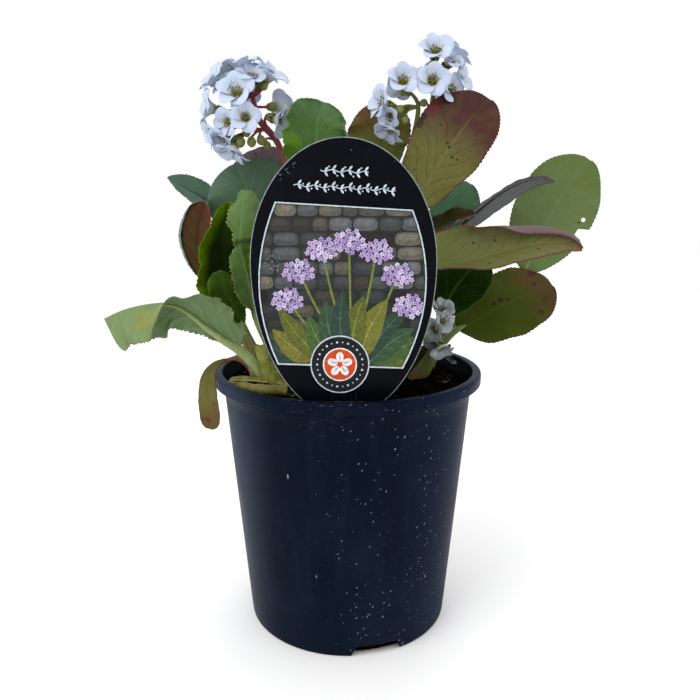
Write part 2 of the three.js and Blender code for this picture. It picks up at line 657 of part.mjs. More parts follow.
function makeScape(scape) {
  const rings = scapeRings(scape);
  const parts = [limb(rings.map((r) => r[0]), rings.map((r) => r[1]), SCAPE_SIDES)];
  for (const bloom of scape.blooms) {
    const { axis, cupFoot } = seatOf(bloom);
    const from = point(scape.line[bloom.from]);
    const bend = from.clone().lerp(cupFoot, 0.6).addScaledVector(axis, -1.5);
    const path = new THREE.CatmullRomCurve3([from, bend, cupFoot]);
    const centres = [0, 0.45, 0.9].map((t) => path.getPointAt(t));
    const radii = centres.map(() => PEDICEL_RADIUS);
    for (const [height, radius] of [[0.5, CUP_SHOULDER], [1, CUP_RADIUS]]) {
      centres.push(cupFoot.clone().addScaledVector(axis, CUP_HEIGHT * height));
      radii.push(radius * Math.min(1, bloom.size));
    }
    parts.push(limb(centres, radii, PEDICEL_SIDES));
  }
  return joined(parts);
}

// Blooms: one thin corolla of five petals that spread from a small ring and lap over each other

const PETAL_ROWS = [0, 0.32, 0.68, 0.95];
const CLAW_RADIUS = 1.3;
const CLAW_HEIGHT = 0.4;
const PETAL_REACH = 6.2;
const PETAL_RISE = 6.2;
const PETAL_DROOP = 0.9;
const PETAL_HOLLOW = 0.12;
const PISTIL_HEIGHT = 3.6;

// Half the petal's width and the lift of its leading edge, at each row from claw to tip.
const PETAL_HALF_WIDTHS = [0.76, 1.75, 4.1, 2.5];
const PETAL_LIFTS = [0, 0.35, 1.0, 0.7];

function axesOf(axis) {
  const spare = Math.abs(axis.z) < 0.9 ? new THREE.Vector3(0, 0, 1) : new THREE.Vector3(1, 0, 0);
  const ex = new THREE.Vector3().crossVectors(spare, axis).normalize();
  return [ex, new THREE.Vector3().crossVectors(axis, ex)];
}

// A petal's middle line, as distance from the bloom's axis and height along it.
function petalLine(u) {
  const radius = CLAW_RADIUS + PETAL_REACH * u ** 1.25;
  return [radius, CLAW_HEIGHT + PETAL_RISE * (1 - (1 - u) ** 1.8) - PETAL_DROOP * u ** 4];
}

function makeBloom(bloom) {
  const { axis, petalFoot } = seatOf(bloom);
  const [ex, ey] = axesOf(axis);
  const size = bloom.size;
  const upper = [];
  const lower = [];
  const put = (list, spot) => list.push(spot) - 1;
  const cross = (turn) => [
    ex.clone().multiplyScalar(Math.cos(turn)).addScaledVector(ey, Math.sin(turn)),
    ex.clone().multiplyScalar(-Math.sin(turn)).addScaledVector(ey, Math.cos(turn)),
  ];
  const place = (k, row, v, face) => {
    const [out, along] = cross(bloom.turn + (2 * Math.PI * k) / PETALS);
    const u = PETAL_ROWS[row];
    const [radius, height] = petalLine(u);
    const [nextRadius, nextHeight] = petalLine(u + 0.01);
    const slope = new THREE.Vector2(nextRadius - radius, nextHeight - height).normalize();
    const half = PETAL_HALF_WIDTHS[row];
    const push = (face * PETAL_THICKNESS) / 2;
    const hollow = row ? PETAL_HOLLOW * half : CLAW_RADIUS * (1 - Math.cos(Math.PI / PETALS));
    const bend = hollow * v * v;
    const spot = petalFoot.clone().addScaledVector(out, size * (radius - bend) - push * slope.y);
    spot.addScaledVector(along, size * half * v);
    return spot.addScaledVector(axis, size * (height + bend + PETAL_LIFTS[row] * v) + push * slope.x);
  };
  const ids = [1, -1].map((face) => {
    const list = face > 0 ? upper : lower;
    const ring = [];
    for (let k = 0; k < PETALS; k += 1) {
      ring.push(put(list, place(k, 0, -1, face)), put(list, place(k, 0, 0, face)));
    }
    const grid = [];
    for (let k = 0; k < PETALS; k += 1) {
      const base = [ring[2 * k], ring[2 * k + 1], ring[(2 * k + 2) % (2 * PETALS)]];
      const rows = [1, 2, 3].map((row) => [-1, 0, 1].map((v) => put(list, place(k, row, v, face))));
      grid.push([base, ...rows]);
    }
    const heart = face > 0 ? PISTIL_HEIGHT * size : 0;
    return { ring, grid, heart: put(list, petalFoot.clone().addScaledVector(axis, heart)) };
  });
  const under = upper.length;
  const triangles = [];
  const both = (a, b, c) => triangles.push(a[0], b[0], c[0], under + a[1], under + c[1], under + b[1]);
  const wall = (a, b) => triangles.push(a[0], b[0], under + b[1], a[0], under + b[1], under + a[1]);
  const corner = (k, i, j) => [ids[0].grid[k][i][j], ids[1].grid[k][i][j]];
  for (let k = 0; k < PETALS; k += 1) {
    for (let i = 0; i < 3; i += 1) {
      for (let j = 0; j < 2; j += 1) {
        both(corner(k, i, j), corner(k, i + 1, j), corner(k, i + 1, j + 1));
        both(corner(k, i, j), corner(k, i + 1, j + 1), corner(k, i, j + 1));
      }
      wall(corner(k, i + 1, 0), corner(k, i, 0));
      wall(corner(k, i, 2), corner(k, i + 1, 2));
    }
    wall(corner(k, 3, 1), corner(k, 3, 0));
    wall(corner(k, 3, 2), corner(k, 3, 1));
    for (const j of [0, 1]) {
      both([ids[0].heart, ids[1].heart], corner(k, 0, j), corner(k, 0, j + 1));
    }
  }
  const positions = [...upper, ...lower].flatMap((spot) => spot.toArray());
  return solidOf(positions, triangles);
}

// Pieces of the crown that lie on the soil: an old split stalk, a cut stub and a pale sheath

const CROWN_PIECES = [
  {
    name: 'stalk_old', colour: 0x9a9462, sides: 7,
    line: [[-66, -28.5, 159.5], [-59, -38.5, 159.5], [-48.5, -49, 158.5], [-36.5, -56.5, 157.5]],
    radii: [3.4, 4.4, 4.5, 3.8],
  },
  {
    name: 'stub_cut', colour: 0x8a6a5a, sides: 6,
    line: [[-53.5, -30, 148], [-54, -30.5, 162], [-56, -30, 176], [-61, -28, 187]],
    radii: [2.8, 2.7, 2.6, 2.3],
  },
  {
    name: 'sheath_pale', colour: 0x9aa860, sides: 6,
    line: [[-40, -42, 148], [-42, -44, 165], [-47, -45.5, 178], [-52, -45, 187]],
    radii: [3.2, 3.8, 2.8, 0.8],
  },
];

function crownRings(piece) {
  return piece.line.map((p, i) => [point(p), piece.radii[i]]);
}

// Soil: fills the pot to a bumpy top, with a plain hole for each stem and a slot for the label's stake

const SOIL_RINGS = 6;
const SOIL_SEGMENTS = 24;
const MOUND_HEIGHT = 3.5;
const MOUND_X = -46;
const MOUND_Y = -34;
const MOUND_SPREAD = 26;
const SLOT_ROOM = 1.4;
const SLOT_DEPTH = 3.4;
const SLOT_FOOT = 117;
const SLOT_TOP = 177;

function soilTop(x, y) {
  const radius = Math.hypot(x, y) / RIM_BORE;
  const bumps = Math.sin(x * 0.19 + 1.1) * Math.cos(y * 0.23 - 0.4) + 0.6 * Math.sin(x * 0.41 - y * 0.37);
  const mound = MOUND_HEIGHT * Math.exp(-((x - MOUND_X) ** 2 + (y - MOUND_Y) ** 2) / MOUND_SPREAD ** 2);
  const level = SOIL_AT_WALL + SOIL_CROWN * (1 - radius * radius);
  return level + (mound + SOIL_BUMP * bumps) * (1 - radius ** 6);
}

function soilBlock() {
  const brim = wallRadius(SOIL_AT_WALL - 12) - WALL - CLEARANCE;
  const low = FOOT_RADIUS - WALL - CLEARANCE;
  const positions = [0, 0, soilTop(0, 0)];
  const triangles = [];
  for (let ring = 1; ring <= SOIL_RINGS; ring += 1) {
    for (let k = 0; k < SOIL_SEGMENTS; k += 1) {
      const radius = (brim * ring) / SOIL_RINGS;
      const turn = (2 * Math.PI * (k + 0.5 * (ring % 2))) / SOIL_SEGMENTS;
      const [x, y] = [radius * Math.cos(turn), radius * Math.sin(turn)];
      positions.push(x, y, soilTop(x, y));
    }
  }
  for (let k = 0; k < SOIL_SEGMENTS; k += 1) {
    const turn = (2 * Math.PI * (k + 0.5 * (SOIL_RINGS % 2))) / SOIL_SEGMENTS;
    positions.push(low * Math.cos(turn), low * Math.sin(turn), FLOOR + CLEARANCE);
  }
  const bottom = positions.length / 3;
  positions.push(0, 0, FLOOR + CLEARANCE);
  const at = (ring, k) => 1 + (ring - 1) * SOIL_SEGMENTS + (k % SOIL_SEGMENTS);
  for (let k = 0; k < SOIL_SEGMENTS; k += 1) {
    triangles.push(0, at(1, k), at(1, k + 1));
    for (let ring = 1; ring <= SOIL_RINGS; ring += 1) {
      triangles.push(at(ring, k), at(ring + 1, k), at(ring + 1, k + 1));
      triangles.push(at(ring, k), at(ring + 1, k + 1), at(ring, k + 1));
    }
    triangles.push(bottom, at(SOIL_RINGS + 1, k + 1), at(SOIL_RINGS + 1, k));
  }
  return solidOf(positions, triangles);
}

function makeSoil() {
  const skin = WALL + CLEARANCE;
  const length = NOTCH_LENGTH + 2 * skin;
  const pockets = notches(NOTCH_HEIGHT + skin, length, NOTCH_DEPTH + skin, NOTCH_SLOPE - 1.5);
  const holes = [];
  for (const leaf of LEAVES) {
    const line = lineThrough([...leaf.stem, ...leaf.rib]);
    holes.push(holeFor(petioleRings(leaf, line), PETIOLE_SIDES));
  }
  for (const scape of SCAPES) {
    holes.push(holeFor(scapeRings(scape), SCAPE_SIDES));
  }
  for (const piece of CROWN_PIECES) {
    const rings = crownRings(piece);
    holes.push(holeFor(rings, piece.sides, rings.length));
  }
  const slot = new THREE.BoxGeometry(STAKE_WIDTH + SLOT_ROOM, SLOT_DEPTH, SLOT_TOP - SLOT_FOOT);
  slot.translate(LABEL_X, LABEL_Y - CLEARANCE, (SLOT_TOP + SLOT_FOOT) / 2);
  return soilBlock().subtract(pockets).subtract(joined(holes)).subtract(solidOfGeometry(slot));
}

// Label: an upright egg-shaped card with its foot cut straight, on a ribbed stake pushed into the soil

const STAKE_POINT = 10;
const RIB_WIDTH = 1.0;
const RIB_DEPTH = 0.9;
const RIB_FOOT = 130;
const RIB_TOP = 164;

function makeLabel() {
  const cut = LABEL_CUT - LABEL_MIDDLE;
  const stakeFoot = STAKE_FOOT - LABEL_MIDDLE;
  const foot = Math.asin(-cut / LABEL_FALL);
  const card = new THREE.Shape();
  card.moveTo(LABEL_HALF_WIDTH * Math.cos(foot), cut);
  card.absellipse(0, 0, LABEL_HALF_WIDTH, LABEL_FALL, -foot, 0, false);
  card.absellipse(0, 0, LABEL_HALF_WIDTH, LABEL_RISE, 0, Math.PI, false);
  card.absellipse(0, 0, LABEL_HALF_WIDTH, LABEL_FALL, Math.PI, Math.PI + foot, false);
  card.lineTo(-STAKE_WIDTH / 2, cut);
  card.lineTo(-STAKE_WIDTH / 2, stakeFoot + STAKE_POINT);
  card.lineTo(0, stakeFoot);
  card.lineTo(STAKE_WIDTH / 2, stakeFoot + STAKE_POINT);
  card.lineTo(STAKE_WIDTH / 2, cut);
  card.closePath();
  const options = { depth: LABEL_THICKNESS, bevelEnabled: false, curveSegments: 12 };
  const parts = [solidOfGeometry(new THREE.ExtrudeGeometry(card, options))];
  for (const place of RIB_PLACES) {
    const rib = new THREE.BoxGeometry(RIB_WIDTH, RIB_TOP - RIB_FOOT, RIB_DEPTH);
    rib.translate(place, (RIB_TOP + RIB_FOOT) / 2 - LABEL_MIDDLE, LABEL_THICKNESS + 0.25);
    parts.push(solidOfGeometry(rib));
  }
  return joined(parts);
}

// The whole plant, put together

const bergenia = new THREE.Group();

bergenia.add(meshOf('pot', makePot(), finish(0x1b2433, 0.45)));
bergenia.add(meshOf('soil', makeSoil(), finish(0x17120f, 0.95)));

const label = meshOf('label', makeLabel(), finish(0x0f141c, 0.35));
label.rotation.set(Math.PI / 2, 0, 0);
label.position.set(LABEL_X, LABEL_Y, LABEL_MIDDLE);
bergenia.add(label);

for (const leaf of LEAVES) {
  bergenia.add(meshOf(leaf.name, makeLeaf(leaf), finish(leaf.colour, 0.5)));
}

for (const scape of SCAPES) {
  bergenia.add(meshOf(`scape_${scape.name}`, makeScape(scape), finish(scape.colour, 0.55)));
  scape.blooms.forEach((bloom, i) => {
    bergenia.add(meshOf(`bloom_${scape.name}_${i + 1}`, makeBloom(bloom), finish(0xdfe6f2, 0.6)));
  });
}

for (const piece of CROWN_PIECES) {
  const rings = crownRings(piece);
  const solid = limb(rings.map((r) => r[0]), rings.map((r) => r[1]), piece.sides);
  bergenia.add(meshOf(piece.name, solid, finish(piece.colour, 0.7)));
}

export default bergenia;
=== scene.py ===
# %% [markdown]
# # A potted bergenia, dressed leaf by leaf
# The plant is a clump of leathery evergreen leaves with heads of white bells, in a dark nursery pot
# with an egg-shaped plant label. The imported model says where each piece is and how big. This lesson
# keeps those places and models each leaf and bloom again with fine teeth, veins and stamens. Every
# surface then gets a finish that is worked out by shader nodes, so no picture is needed.

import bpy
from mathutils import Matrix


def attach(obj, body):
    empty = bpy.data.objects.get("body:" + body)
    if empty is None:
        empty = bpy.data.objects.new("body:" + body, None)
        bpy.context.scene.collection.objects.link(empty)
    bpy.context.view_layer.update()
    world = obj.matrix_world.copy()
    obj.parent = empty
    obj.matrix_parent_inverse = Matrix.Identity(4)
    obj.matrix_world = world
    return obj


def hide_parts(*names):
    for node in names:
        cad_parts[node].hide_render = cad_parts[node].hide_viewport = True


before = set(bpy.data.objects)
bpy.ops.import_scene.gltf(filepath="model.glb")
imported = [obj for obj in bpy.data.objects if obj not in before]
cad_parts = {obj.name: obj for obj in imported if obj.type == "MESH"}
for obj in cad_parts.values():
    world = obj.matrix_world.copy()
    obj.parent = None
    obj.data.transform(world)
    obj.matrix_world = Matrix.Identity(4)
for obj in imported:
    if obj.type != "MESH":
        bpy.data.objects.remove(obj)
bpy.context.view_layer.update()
print("nodes in the packed model:", len(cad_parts))

# %% [markdown]
# All sizes below are millimetres, the unit a grower thinks in. Blender works in metres, so one factor
# turns them over at the very end. Colours are given as they look on a screen, from 0 to 255, and are
# turned into the linear colours that light is reckoned in. Chance is always drawn from a seed made of
# the piece's name, so that each leaf keeps its own spots however often the script is run.

# %% Units, colours and chance
import bpy
import numpy as np

MM = 0.001


def paint(red, green, blue):
    """A screen colour from 0 to 255 as the linear colour that Blender mixes."""
    share = np.array([red, green, blue]) / 255
    linear = np.where(share <= 0.04045, share / 12.92, ((share + 0.055) / 1.055) ** 2.4)
    return (*linear.tolist(), 1.0)


def chance_for(name):
    """A random generator of the piece's own."""
    return np.random.default_rng(list(name.encode()))


print("a mid grey of 128 is", round(paint(128, 128, 128)[0], 3), "in linear light")

# %% [markdown]
# A shader is a small sum: veins plus spots, times a fade towards the leaf's edge. Written with nodes
# alone it is hard to read, so a socket is wrapped in a class that knows Python's operators, and each
# operator adds one Math node. Every other node comes from one method, `add`, which takes the node's
# type, its settings and what goes into its sockets.

# %% Shader sums in plain Python
MIX_BELOW = 6
MIX_ABOVE = 7
MIX_RESULT = 2


class Value:
    """A socket's number, place or colour. Arithmetic on it adds Math nodes."""

    def __init__(self, finish, socket):
        self.finish = finish
        self.socket = socket

    def math(self, operation, *others):
        """A Math node on this number and on others."""
        return self.finish.add("ShaderNodeMath", {"operation": operation}, dict(enumerate([self, *others])))

    def __add__(self, other):
        return self.math("ADD", other)

    def __mul__(self, other):
        return self.math("MULTIPLY", other)

    def __sub__(self, other):
        return self.math("SUBTRACT", other)

    def __truediv__(self, other):
        return self.math("DIVIDE", other)

    def __rsub__(self, other):
        return self.finish.add("ShaderNodeMath", {"operation": "SUBTRACT"}, {0: other, 1: self})

    __radd__ = __add__
    __rmul__ = __mul__

    def size(self):
        """The number without its sign."""
        return self.math("ABSOLUTE")

    def part_of_one(self):
        """What is left when whole numbers are taken away."""
        return self.math("FRACT")

    def above(self, level):
        """1 above a level and 0 below it."""
        return self.math("GREATER_THAN", level)

    def rise(self, low, high):
        """0 below low, 1 above high and a smooth step between them."""
        settings = {"interpolation_type": "SMOOTHSTEP"}
        return self.finish.add("ShaderNodeMapRange", settings, {0: self, 1: low, 2: high})

    def fall(self, low, high):
        """1 below low, 0 above high and a smooth step between them."""
        return 1 - self.rise(low, high)

    def axis(self, name):
        """One of a place's three numbers."""
        return self.finish.add("ShaderNodeSeparateXYZ", {}, {0: self}, name)

    def vector(self, operation, other, output=0):
        """A Vector Math node on this place and another."""
        return self.finish.add("ShaderNodeVectorMath", {"operation": operation}, {0: self, 1: other}, output)

    def stretch(self, *scale):
        """Scaled places: a pattern on them grows long where the scale is small."""
        return self.vector("MULTIPLY", scale)

    def apart(self, spot):
        """How far the place lies from a spot."""
        return self.vector("DISTANCE", spot, "Value")

    def cloud(self, size, detail=2.0, rough=0.5):
        """Soft patches about so many millimetres across, from 0 to 1 round 0.5."""
        sockets = {"Vector": self, "Scale": 1 / size, "Detail": detail, "Roughness": rough}
        return self.finish.add("ShaderNodeTexNoise", {}, sockets)

    def cells(self, size, feature="F1", output="Distance"):
        """Cells about so many millimetres across: how far each point is from its cell's seed."""
        sockets = {"Vector": self, "Scale": 1 / size}
        return self.finish.add("ShaderNodeTexVoronoi", {"feature": feature}, sockets, output)

    def lot(self, size, name):
        """A chance number from 0 to 1 for each of the same cells, one for each of X, Y and Z."""
        return self.cells(size, output="Color").axis(name)

    def blend(self, below, above):
        """One screen colour where this number is 0 and another where it is 1."""
        return self.finish.mix(self, paint(*below), paint(*above))

    def coat(self, mask, red, green, blue):
        """A screen colour laid over this colour, where the mask is 1."""
        return self.finish.mix(mask, self, paint(red, green, blue))


class Finish:
    """One procedural material: a Principled shader and the nodes that feed it."""

    def __init__(self, name, slot, shine, **constants):
        self.material = bpy.data.materials.new(name)
        self.material.use_nodes = True
        self.slot = slot
        self.tree = self.material.node_tree
        self.shader = self.tree.nodes["Principled BSDF"]
        for socket, value in {"Specular IOR Level": shine, **constants}.items():
            self.shader.inputs[socket.replace("_", " ")].default_value = value

    def add(self, kind, settings, sockets, output=0):
        """Any node: its type, its settings, what goes into its sockets, and the output that is read."""
        node = self.tree.nodes.new(kind)
        for key, value in settings.items():
            setattr(node, key, value)
        for key, value in sockets.items():
            self.feed(node.inputs[key], value)
        return Value(self, node.outputs[output])

    def feed(self, socket, value):
        """Links a value to a socket, or sets a constant on it."""
        if isinstance(value, Value):
            self.tree.links.new(value.socket, socket)
        else:
            socket.default_value = value

    def note(self, name, output="Fac"):
        """What the mesh says at each point, such as the distance to the leaf's edge."""
        return self.add("ShaderNodeAttribute", {"attribute_name": name}, {}, output)

    def place(self):
        """The point's own place, in millimetres."""
        spot = self.add("ShaderNodeTexCoord", {}, {}, "Object")
        return self.add("ShaderNodeVectorMath", {"operation": "SCALE"}, {0: spot, "Scale": 1 / MM})

    def mix(self, mask, below, above):
        """One colour over another, where the mask is 1."""
        sockets = {0: mask, MIX_BELOW: below, MIX_ABOVE: above}
        return self.add("ShaderNodeMix", {"data_type": "RGBA"}, sockets, MIX_RESULT)

    def wear(self, colour, roughness, relief=None, depth=0.2):
        """Colour and roughness onto the shader, with relief as a bump so many millimetres deep."""
        self.feed(self.shader.inputs["Base Color"], colour)
        self.feed(self.shader.inputs["Roughness"], roughness)
        if relief is not None:
            bump = self.add("ShaderNodeBump", {}, {"Distance": depth * MM, "Height": relief})
            self.feed(self.shader.inputs["Normal"], bump)
        return self


print("shader helpers are ready")

# %% [markdown]
# Shapes are made of three forms only: a smooth line through a few chosen points, a limb that is swept
# round such a line, and a thin sheet that is a grid of points with a thickness. A `Pile` collects the
# parts of one piece and turns them into one mesh, with a few notes at each point that the shader reads.

# %% Smooth lines
def once_round(count):
    """So many angles, evenly spaced once round."""
    return np.linspace(0, 2 * np.pi, count, endpoint=False)


def toward(angle):
    """A step of one in a direction on the flat."""
    return np.array([np.cos(angle), np.sin(angle)])


def unit(vectors):
    """Vectors brought to a length of one."""
    vectors = np.asarray(vectors, float)
    return vectors / np.maximum(np.linalg.norm(vectors, axis=-1, keepdims=True), 1e-9)


def square_to(ahead, up):
    """What is left of a way up when it is made square to the way ahead."""
    return unit(up - ahead * (up * ahead).sum(1, keepdims=True))


class Line:
    """A smooth line through points, read by its share of length from 0 to 1."""

    STEPS = 24
    GLANCE = 0.004

    def __init__(self, points):
        knots = np.array(points, float)
        knots = np.vstack([2 * knots[0] - knots[1], knots, 2 * knots[-1] - knots[-2]])
        u = np.linspace(0, 1, self.STEPS + 1)[1:, None]
        runs = [knots[1:2]]
        for a, b, c, d in zip(knots, knots[1:], knots[2:], knots[3:]):
            bend = (2 * a - 5 * b + 4 * c - d) * u**2 + (3 * b - a - 3 * c + d) * u**3
            runs.append(0.5 * (2 * b + (c - a) * u + bend))
        self.spots = np.vstack(runs)
        self.walk = np.append(0, np.cumsum(np.linalg.norm(np.diff(self.spots, axis=0), axis=1)))
        self.length = self.walk[-1]
        self.marks = self.walk[:: self.STEPS] / self.length

    def at(self, share):
        """The points at these shares of the length."""
        walked = np.asarray(share) * self.length
        return np.stack([np.interp(walked, self.walk, axis) for axis in self.spots.T], -1)

    def ahead(self, share):
        """The way the line runs there, from a glance behind to a glance ahead."""
        return unit(self.at(np.minimum(share + self.GLANCE, 1)) - self.at(np.maximum(share - self.GLANCE, 0)))


def eased(values, t):
    """A list of values read as one smooth run, from the first at t = 0 to the last at t = 1."""
    values = np.asarray(values, float)
    if len(values) == 1:
        return np.repeat(values, len(t), axis=0)
    x = np.clip(t, 0, 1) * (len(values) - 1)
    i = np.minimum(x.astype(int), len(values) - 2)
    f = (x - i) ** 2 * (3 - 2 * (x - i))
    f = f.reshape(-1, *[1] * (values.ndim - 1))
    return values[i] * (1 - f) + values[i + 1] * f


print("a line through three points is", round(Line([[0, 0, 0], [5, 0, 5], [10, 0, 0]]).length, 2), "mm long")

# %% Limbs, sheets and piles
def mesh_of(name, points, faces):
    """A mesh from points in millimetres and faces."""
    mesh = bpy.data.meshes.new(name)
    mesh.from_pydata((np.array(points) * MM).tolist(), [], faces)
    return mesh


def placed(name, data):
    """A mesh, camera or lamp as an object in the scene."""
    thing = bpy.data.objects.new(name, data)
    bpy.context.scene.collection.objects.link(thing)
    return thing


class Pile:
    """Points, faces and notes of one piece, added part by part."""

    def __init__(self):
        self.points = []
        self.faces = []
        self.layers = []
        self.notes = {}
        self.count = 0

    def add(self, points, faces, layer=0, **notes):
        """One part: layer says which finish it wears, and notes are what the shader reads at its points."""
        points = np.asarray(points, float).reshape(-1, 3)
        self.faces += [tuple(corner + self.count for corner in face) for face in faces]
        self.layers += [layer] * len(faces)
        self.points.append(points)
        for name, values in notes.items():
            self.notes.setdefault(name, []).append((self.count, np.asarray(values, float)))
        self.count += len(points)

    def make(self, name, *finishes, replaces=()):
        """The pile as an object that rides on the plant, in its finishes."""
        mesh = mesh_of(name, np.vstack(self.points), self.faces)
        mesh.polygons.foreach_set("use_smooth", [True] * len(self.faces))
        mesh.polygons.foreach_set("material_index", self.layers)
        for note, runs in self.notes.items():
            wide = runs[0][1].shape[-1] if runs[0][1].ndim > 1 else 1
            whole = np.zeros((self.count, wide))
            for start, values in runs:
                whole[start : start + len(values)] = values.reshape(len(values), wide)
            kind = {1: "FLOAT", 3: "FLOAT_VECTOR", 4: "FLOAT_COLOR"}[wide]
            field = {1: "value", 3: "vector", 4: "color"}[wide]
            mesh.attributes.new(note, kind, "POINT").data.foreach_set(field, whole.ravel())
        mesh.update()
        piece = placed(name, mesh)
        for finish in finishes:
            mesh.materials.append(finish.material)
        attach(piece, "root")
        for node in replaces:
            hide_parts(node)
        return piece


def limb(centres, radii, sides, flutes=0.0, flute_count=2):
    """Rings round a run of centres, closed at both ends. flutes presses grooves along it."""
    centres = np.asarray(centres, float)
    ahead = unit(np.gradient(centres, axis=0))
    spare = [0, 0, 1] if abs(ahead[0][2]) < 0.8 else [1, 0, 0]
    across = unit(np.cross(ahead[0], spare))
    turn = once_round(sides)[:, None]
    pinch = 1 - flutes * (0.5 + 0.5 * np.cos(flute_count * turn))
    rings = []
    for centre, way, radius in zip(centres, ahead, radii):
        across = unit(across - way * across.dot(way))
        up = np.cross(way, across)
        rings.append(centre + radius * pinch * (np.cos(turn) * across + np.sin(turn) * up))
    last = (len(centres) - 1) * sides
    steps = [(k, (k + 1) % sides) for k in range(sides)]
    faces = [(a + k, a + n, a + sides + n, a + sides + k) for a in range(0, last, sides) for k, n in steps]
    foot = last + sides
    faces += [(foot, n, k) for k, n in steps]
    faces += [(foot + 1, last + k, last + n) for k, n in steps]
    return np.vstack([*rings, centres[:1], centres[-1:]]), faces


def sheet(grid, thickness, round_about=False):
    """A grid of points (rows from foot to tip, columns from left to right) as a thin closed solid."""
    rows, columns = grid.shape[:2]
    if round_about:
        wide = np.concatenate([grid[:, -1:], grid, grid[:, :1]], axis=1)
        normals = unit(np.cross(np.gradient(wide, axis=1), np.gradient(wide, axis=0)))[:, 1:-1]
    else:
        normals = unit(np.cross(np.gradient(grid, axis=1), np.gradient(grid, axis=0)))
    half = normals * (np.broadcast_to(thickness, (rows, columns)) / 2)[..., None]
    points = np.vstack([(grid + half).reshape(-1, 3), (grid - half).reshape(-1, 3)])
    under = rows * columns
    faces = []
    spans = columns if round_about else columns - 1
    for i in range(rows - 1):
        for j in range(spans):
            a, b = i * columns + j, i * columns + (j + 1) % columns
            faces.append((a, b, b + columns, a + columns))
            faces.append((under + a, under + a + columns, under + b + columns, under + b))
    tip = (rows - 1) * columns
    rim = []
    for j in range(spans):
        after = (j + 1) % columns
        rim += [(tip + j, tip + after), (after, j)]
    if not round_about:
        for a in range(0, tip, columns):
            rim += [(a, a + columns), (a + 2 * columns - 1, a + columns - 1)]
    faces += [(a, b, under + b, under + a) for a, b in rim]
    return points, faces


print("a ten-sided limb of two rings has", len(limb([[0, 0, 0], [0, 0, 9]], [1, 1], 10)[1]), "faces")

# %% [markdown]
# ## The studio
# The camera stands where the photographer stood: a little above the leaves, looking slightly down.
# Its distance and lens were worked out from the pot's rim and foot. The light is plain and soft: a
# pale room, one large lamp at the upper left and a weaker one at the right.

# %% Camera, lamps and floor
CAMERA_PLACE = (0.0015, -0.4345, 0.2671)
CAMERA_PITCH = np.radians(77.57)
CAMERA_LENS = 36.65
SENSOR_WIDTH = 36
ROOM_LIGHT = 1.02
PLANT_MIDDLE = np.array([0, 0, 0.2])
FLOOR_REACH = 4000

lens = bpy.data.cameras.new("camera")
lens.lens = CAMERA_LENS
lens.sensor_width = SENSOR_WIDTH
lens.sensor_fit = "HORIZONTAL"
camera = placed("camera", lens)
camera.location = CAMERA_PLACE
camera.rotation_euler = (CAMERA_PITCH, 0, 0)
bpy.context.scene.camera = camera
bpy.context.scene.view_settings.view_transform = "Standard"

world = bpy.data.worlds.new("pale_room")
world.use_nodes = True
world.node_tree.nodes["Background"].inputs["Color"].default_value = (1, 1, 1, 1)
world.node_tree.nodes["Background"].inputs["Strength"].default_value = ROOM_LIGHT
bpy.context.scene.world = world


def lamp(name, place, width, power):
    """A square soft lamp that looks at the middle of the plant."""
    light = bpy.data.lights.new(name, "AREA")
    light.size = width
    light.energy = power
    stand = placed(name, light)
    stand.location = place
    way = PLANT_MIDDLE - np.array(place)
    pitch = np.arctan2(np.hypot(way[0], way[1]), -way[2])
    stand.rotation_euler = (pitch, 0, np.arctan2(way[1], way[0]) - np.pi / 2)


lamp("key_lamp", (-0.7, -0.7, 1.1), 0.8, 7)
lamp("side_lamp", (1.0, -0.3, 0.6), 0.8, 0.8)
lamp("back_lamp", (0.2, 1.0, 1.0), 0.9, 3)

floor_finish = Finish("floor_paper", "pot", 0.1)
grain = floor_finish.place().cloud(60)
floor_finish.wear(grain.blend((251, 251, 252), (253, 253, 253)), 0.9)
corners = [(x * FLOOR_REACH, y * FLOOR_REACH, 0) for x, y in ((-1, -1), (1, -1), (1, 1), (-1, 1))]
floor = placed("floor", mesh_of("floor", corners, [(0, 1, 2, 3)]))
floor.data.materials.append(floor_finish.material)
print("camera at", CAMERA_PLACE, "with three lamps")

# %% [markdown]
# ## The pot
# A nursery pot is blown or moulded from dark recycled plastic. It tapers to the foot, has a turned-out
# rim that stiffens it, a shallow bead below the rim, and tapered notches at the foot that let water out.
# It is a turned shape, so its outline is drawn once and swung round the axis. Each notch gets a pocket of
# plastic inside the wall, joined on by a Boolean, and is then cut by a tapered block, as in the mould.

# %% Driving sizes of the pot
POT_HEIGHT = 161
RIM_RADIUS = 82.5
RIM_DROP = 7.3
RIM_BORE = 77.2
NECK_RADIUS = 76.8
FOOT_RADIUS = 63.2
WALL = 2.0
FLOOR = 2.2
NOTCH_COUNT = 3
NOTCH_HEIGHT = 6.7
NOTCH_LENGTH = 31
NOTCH_DEPTH = 11
NOTCH_SLOPE = 4
NOTCH_ANGLE = np.radians(-74)
NOTCH_BEYOND = 6
DRAIN_RADIUS = 4.0
FLAT_FOOT = 40
FOOT_CORNER = 1.5
RING_CORNER = 1.1
RIM_CORNER = 1.6
LIP_CORNER = 1.0
CORNER_STEPS = 5
POT_SEGMENTS = 192
NECK = POT_HEIGHT - RIM_DROP


def arc(middle, radius, start, end):
    """Points of a round corner, from one angle in degrees to another."""
    angles = np.radians(np.linspace(start, end, CORNER_STEPS))
    return [(middle[0] + radius * np.cos(a), middle[1] + radius * np.sin(a)) for a in angles]


def wall_radius(z):
    """The pot's outer radius at a height."""
    return FOOT_RADIUS + (NECK_RADIUS - FOOT_RADIUS) * z / NECK


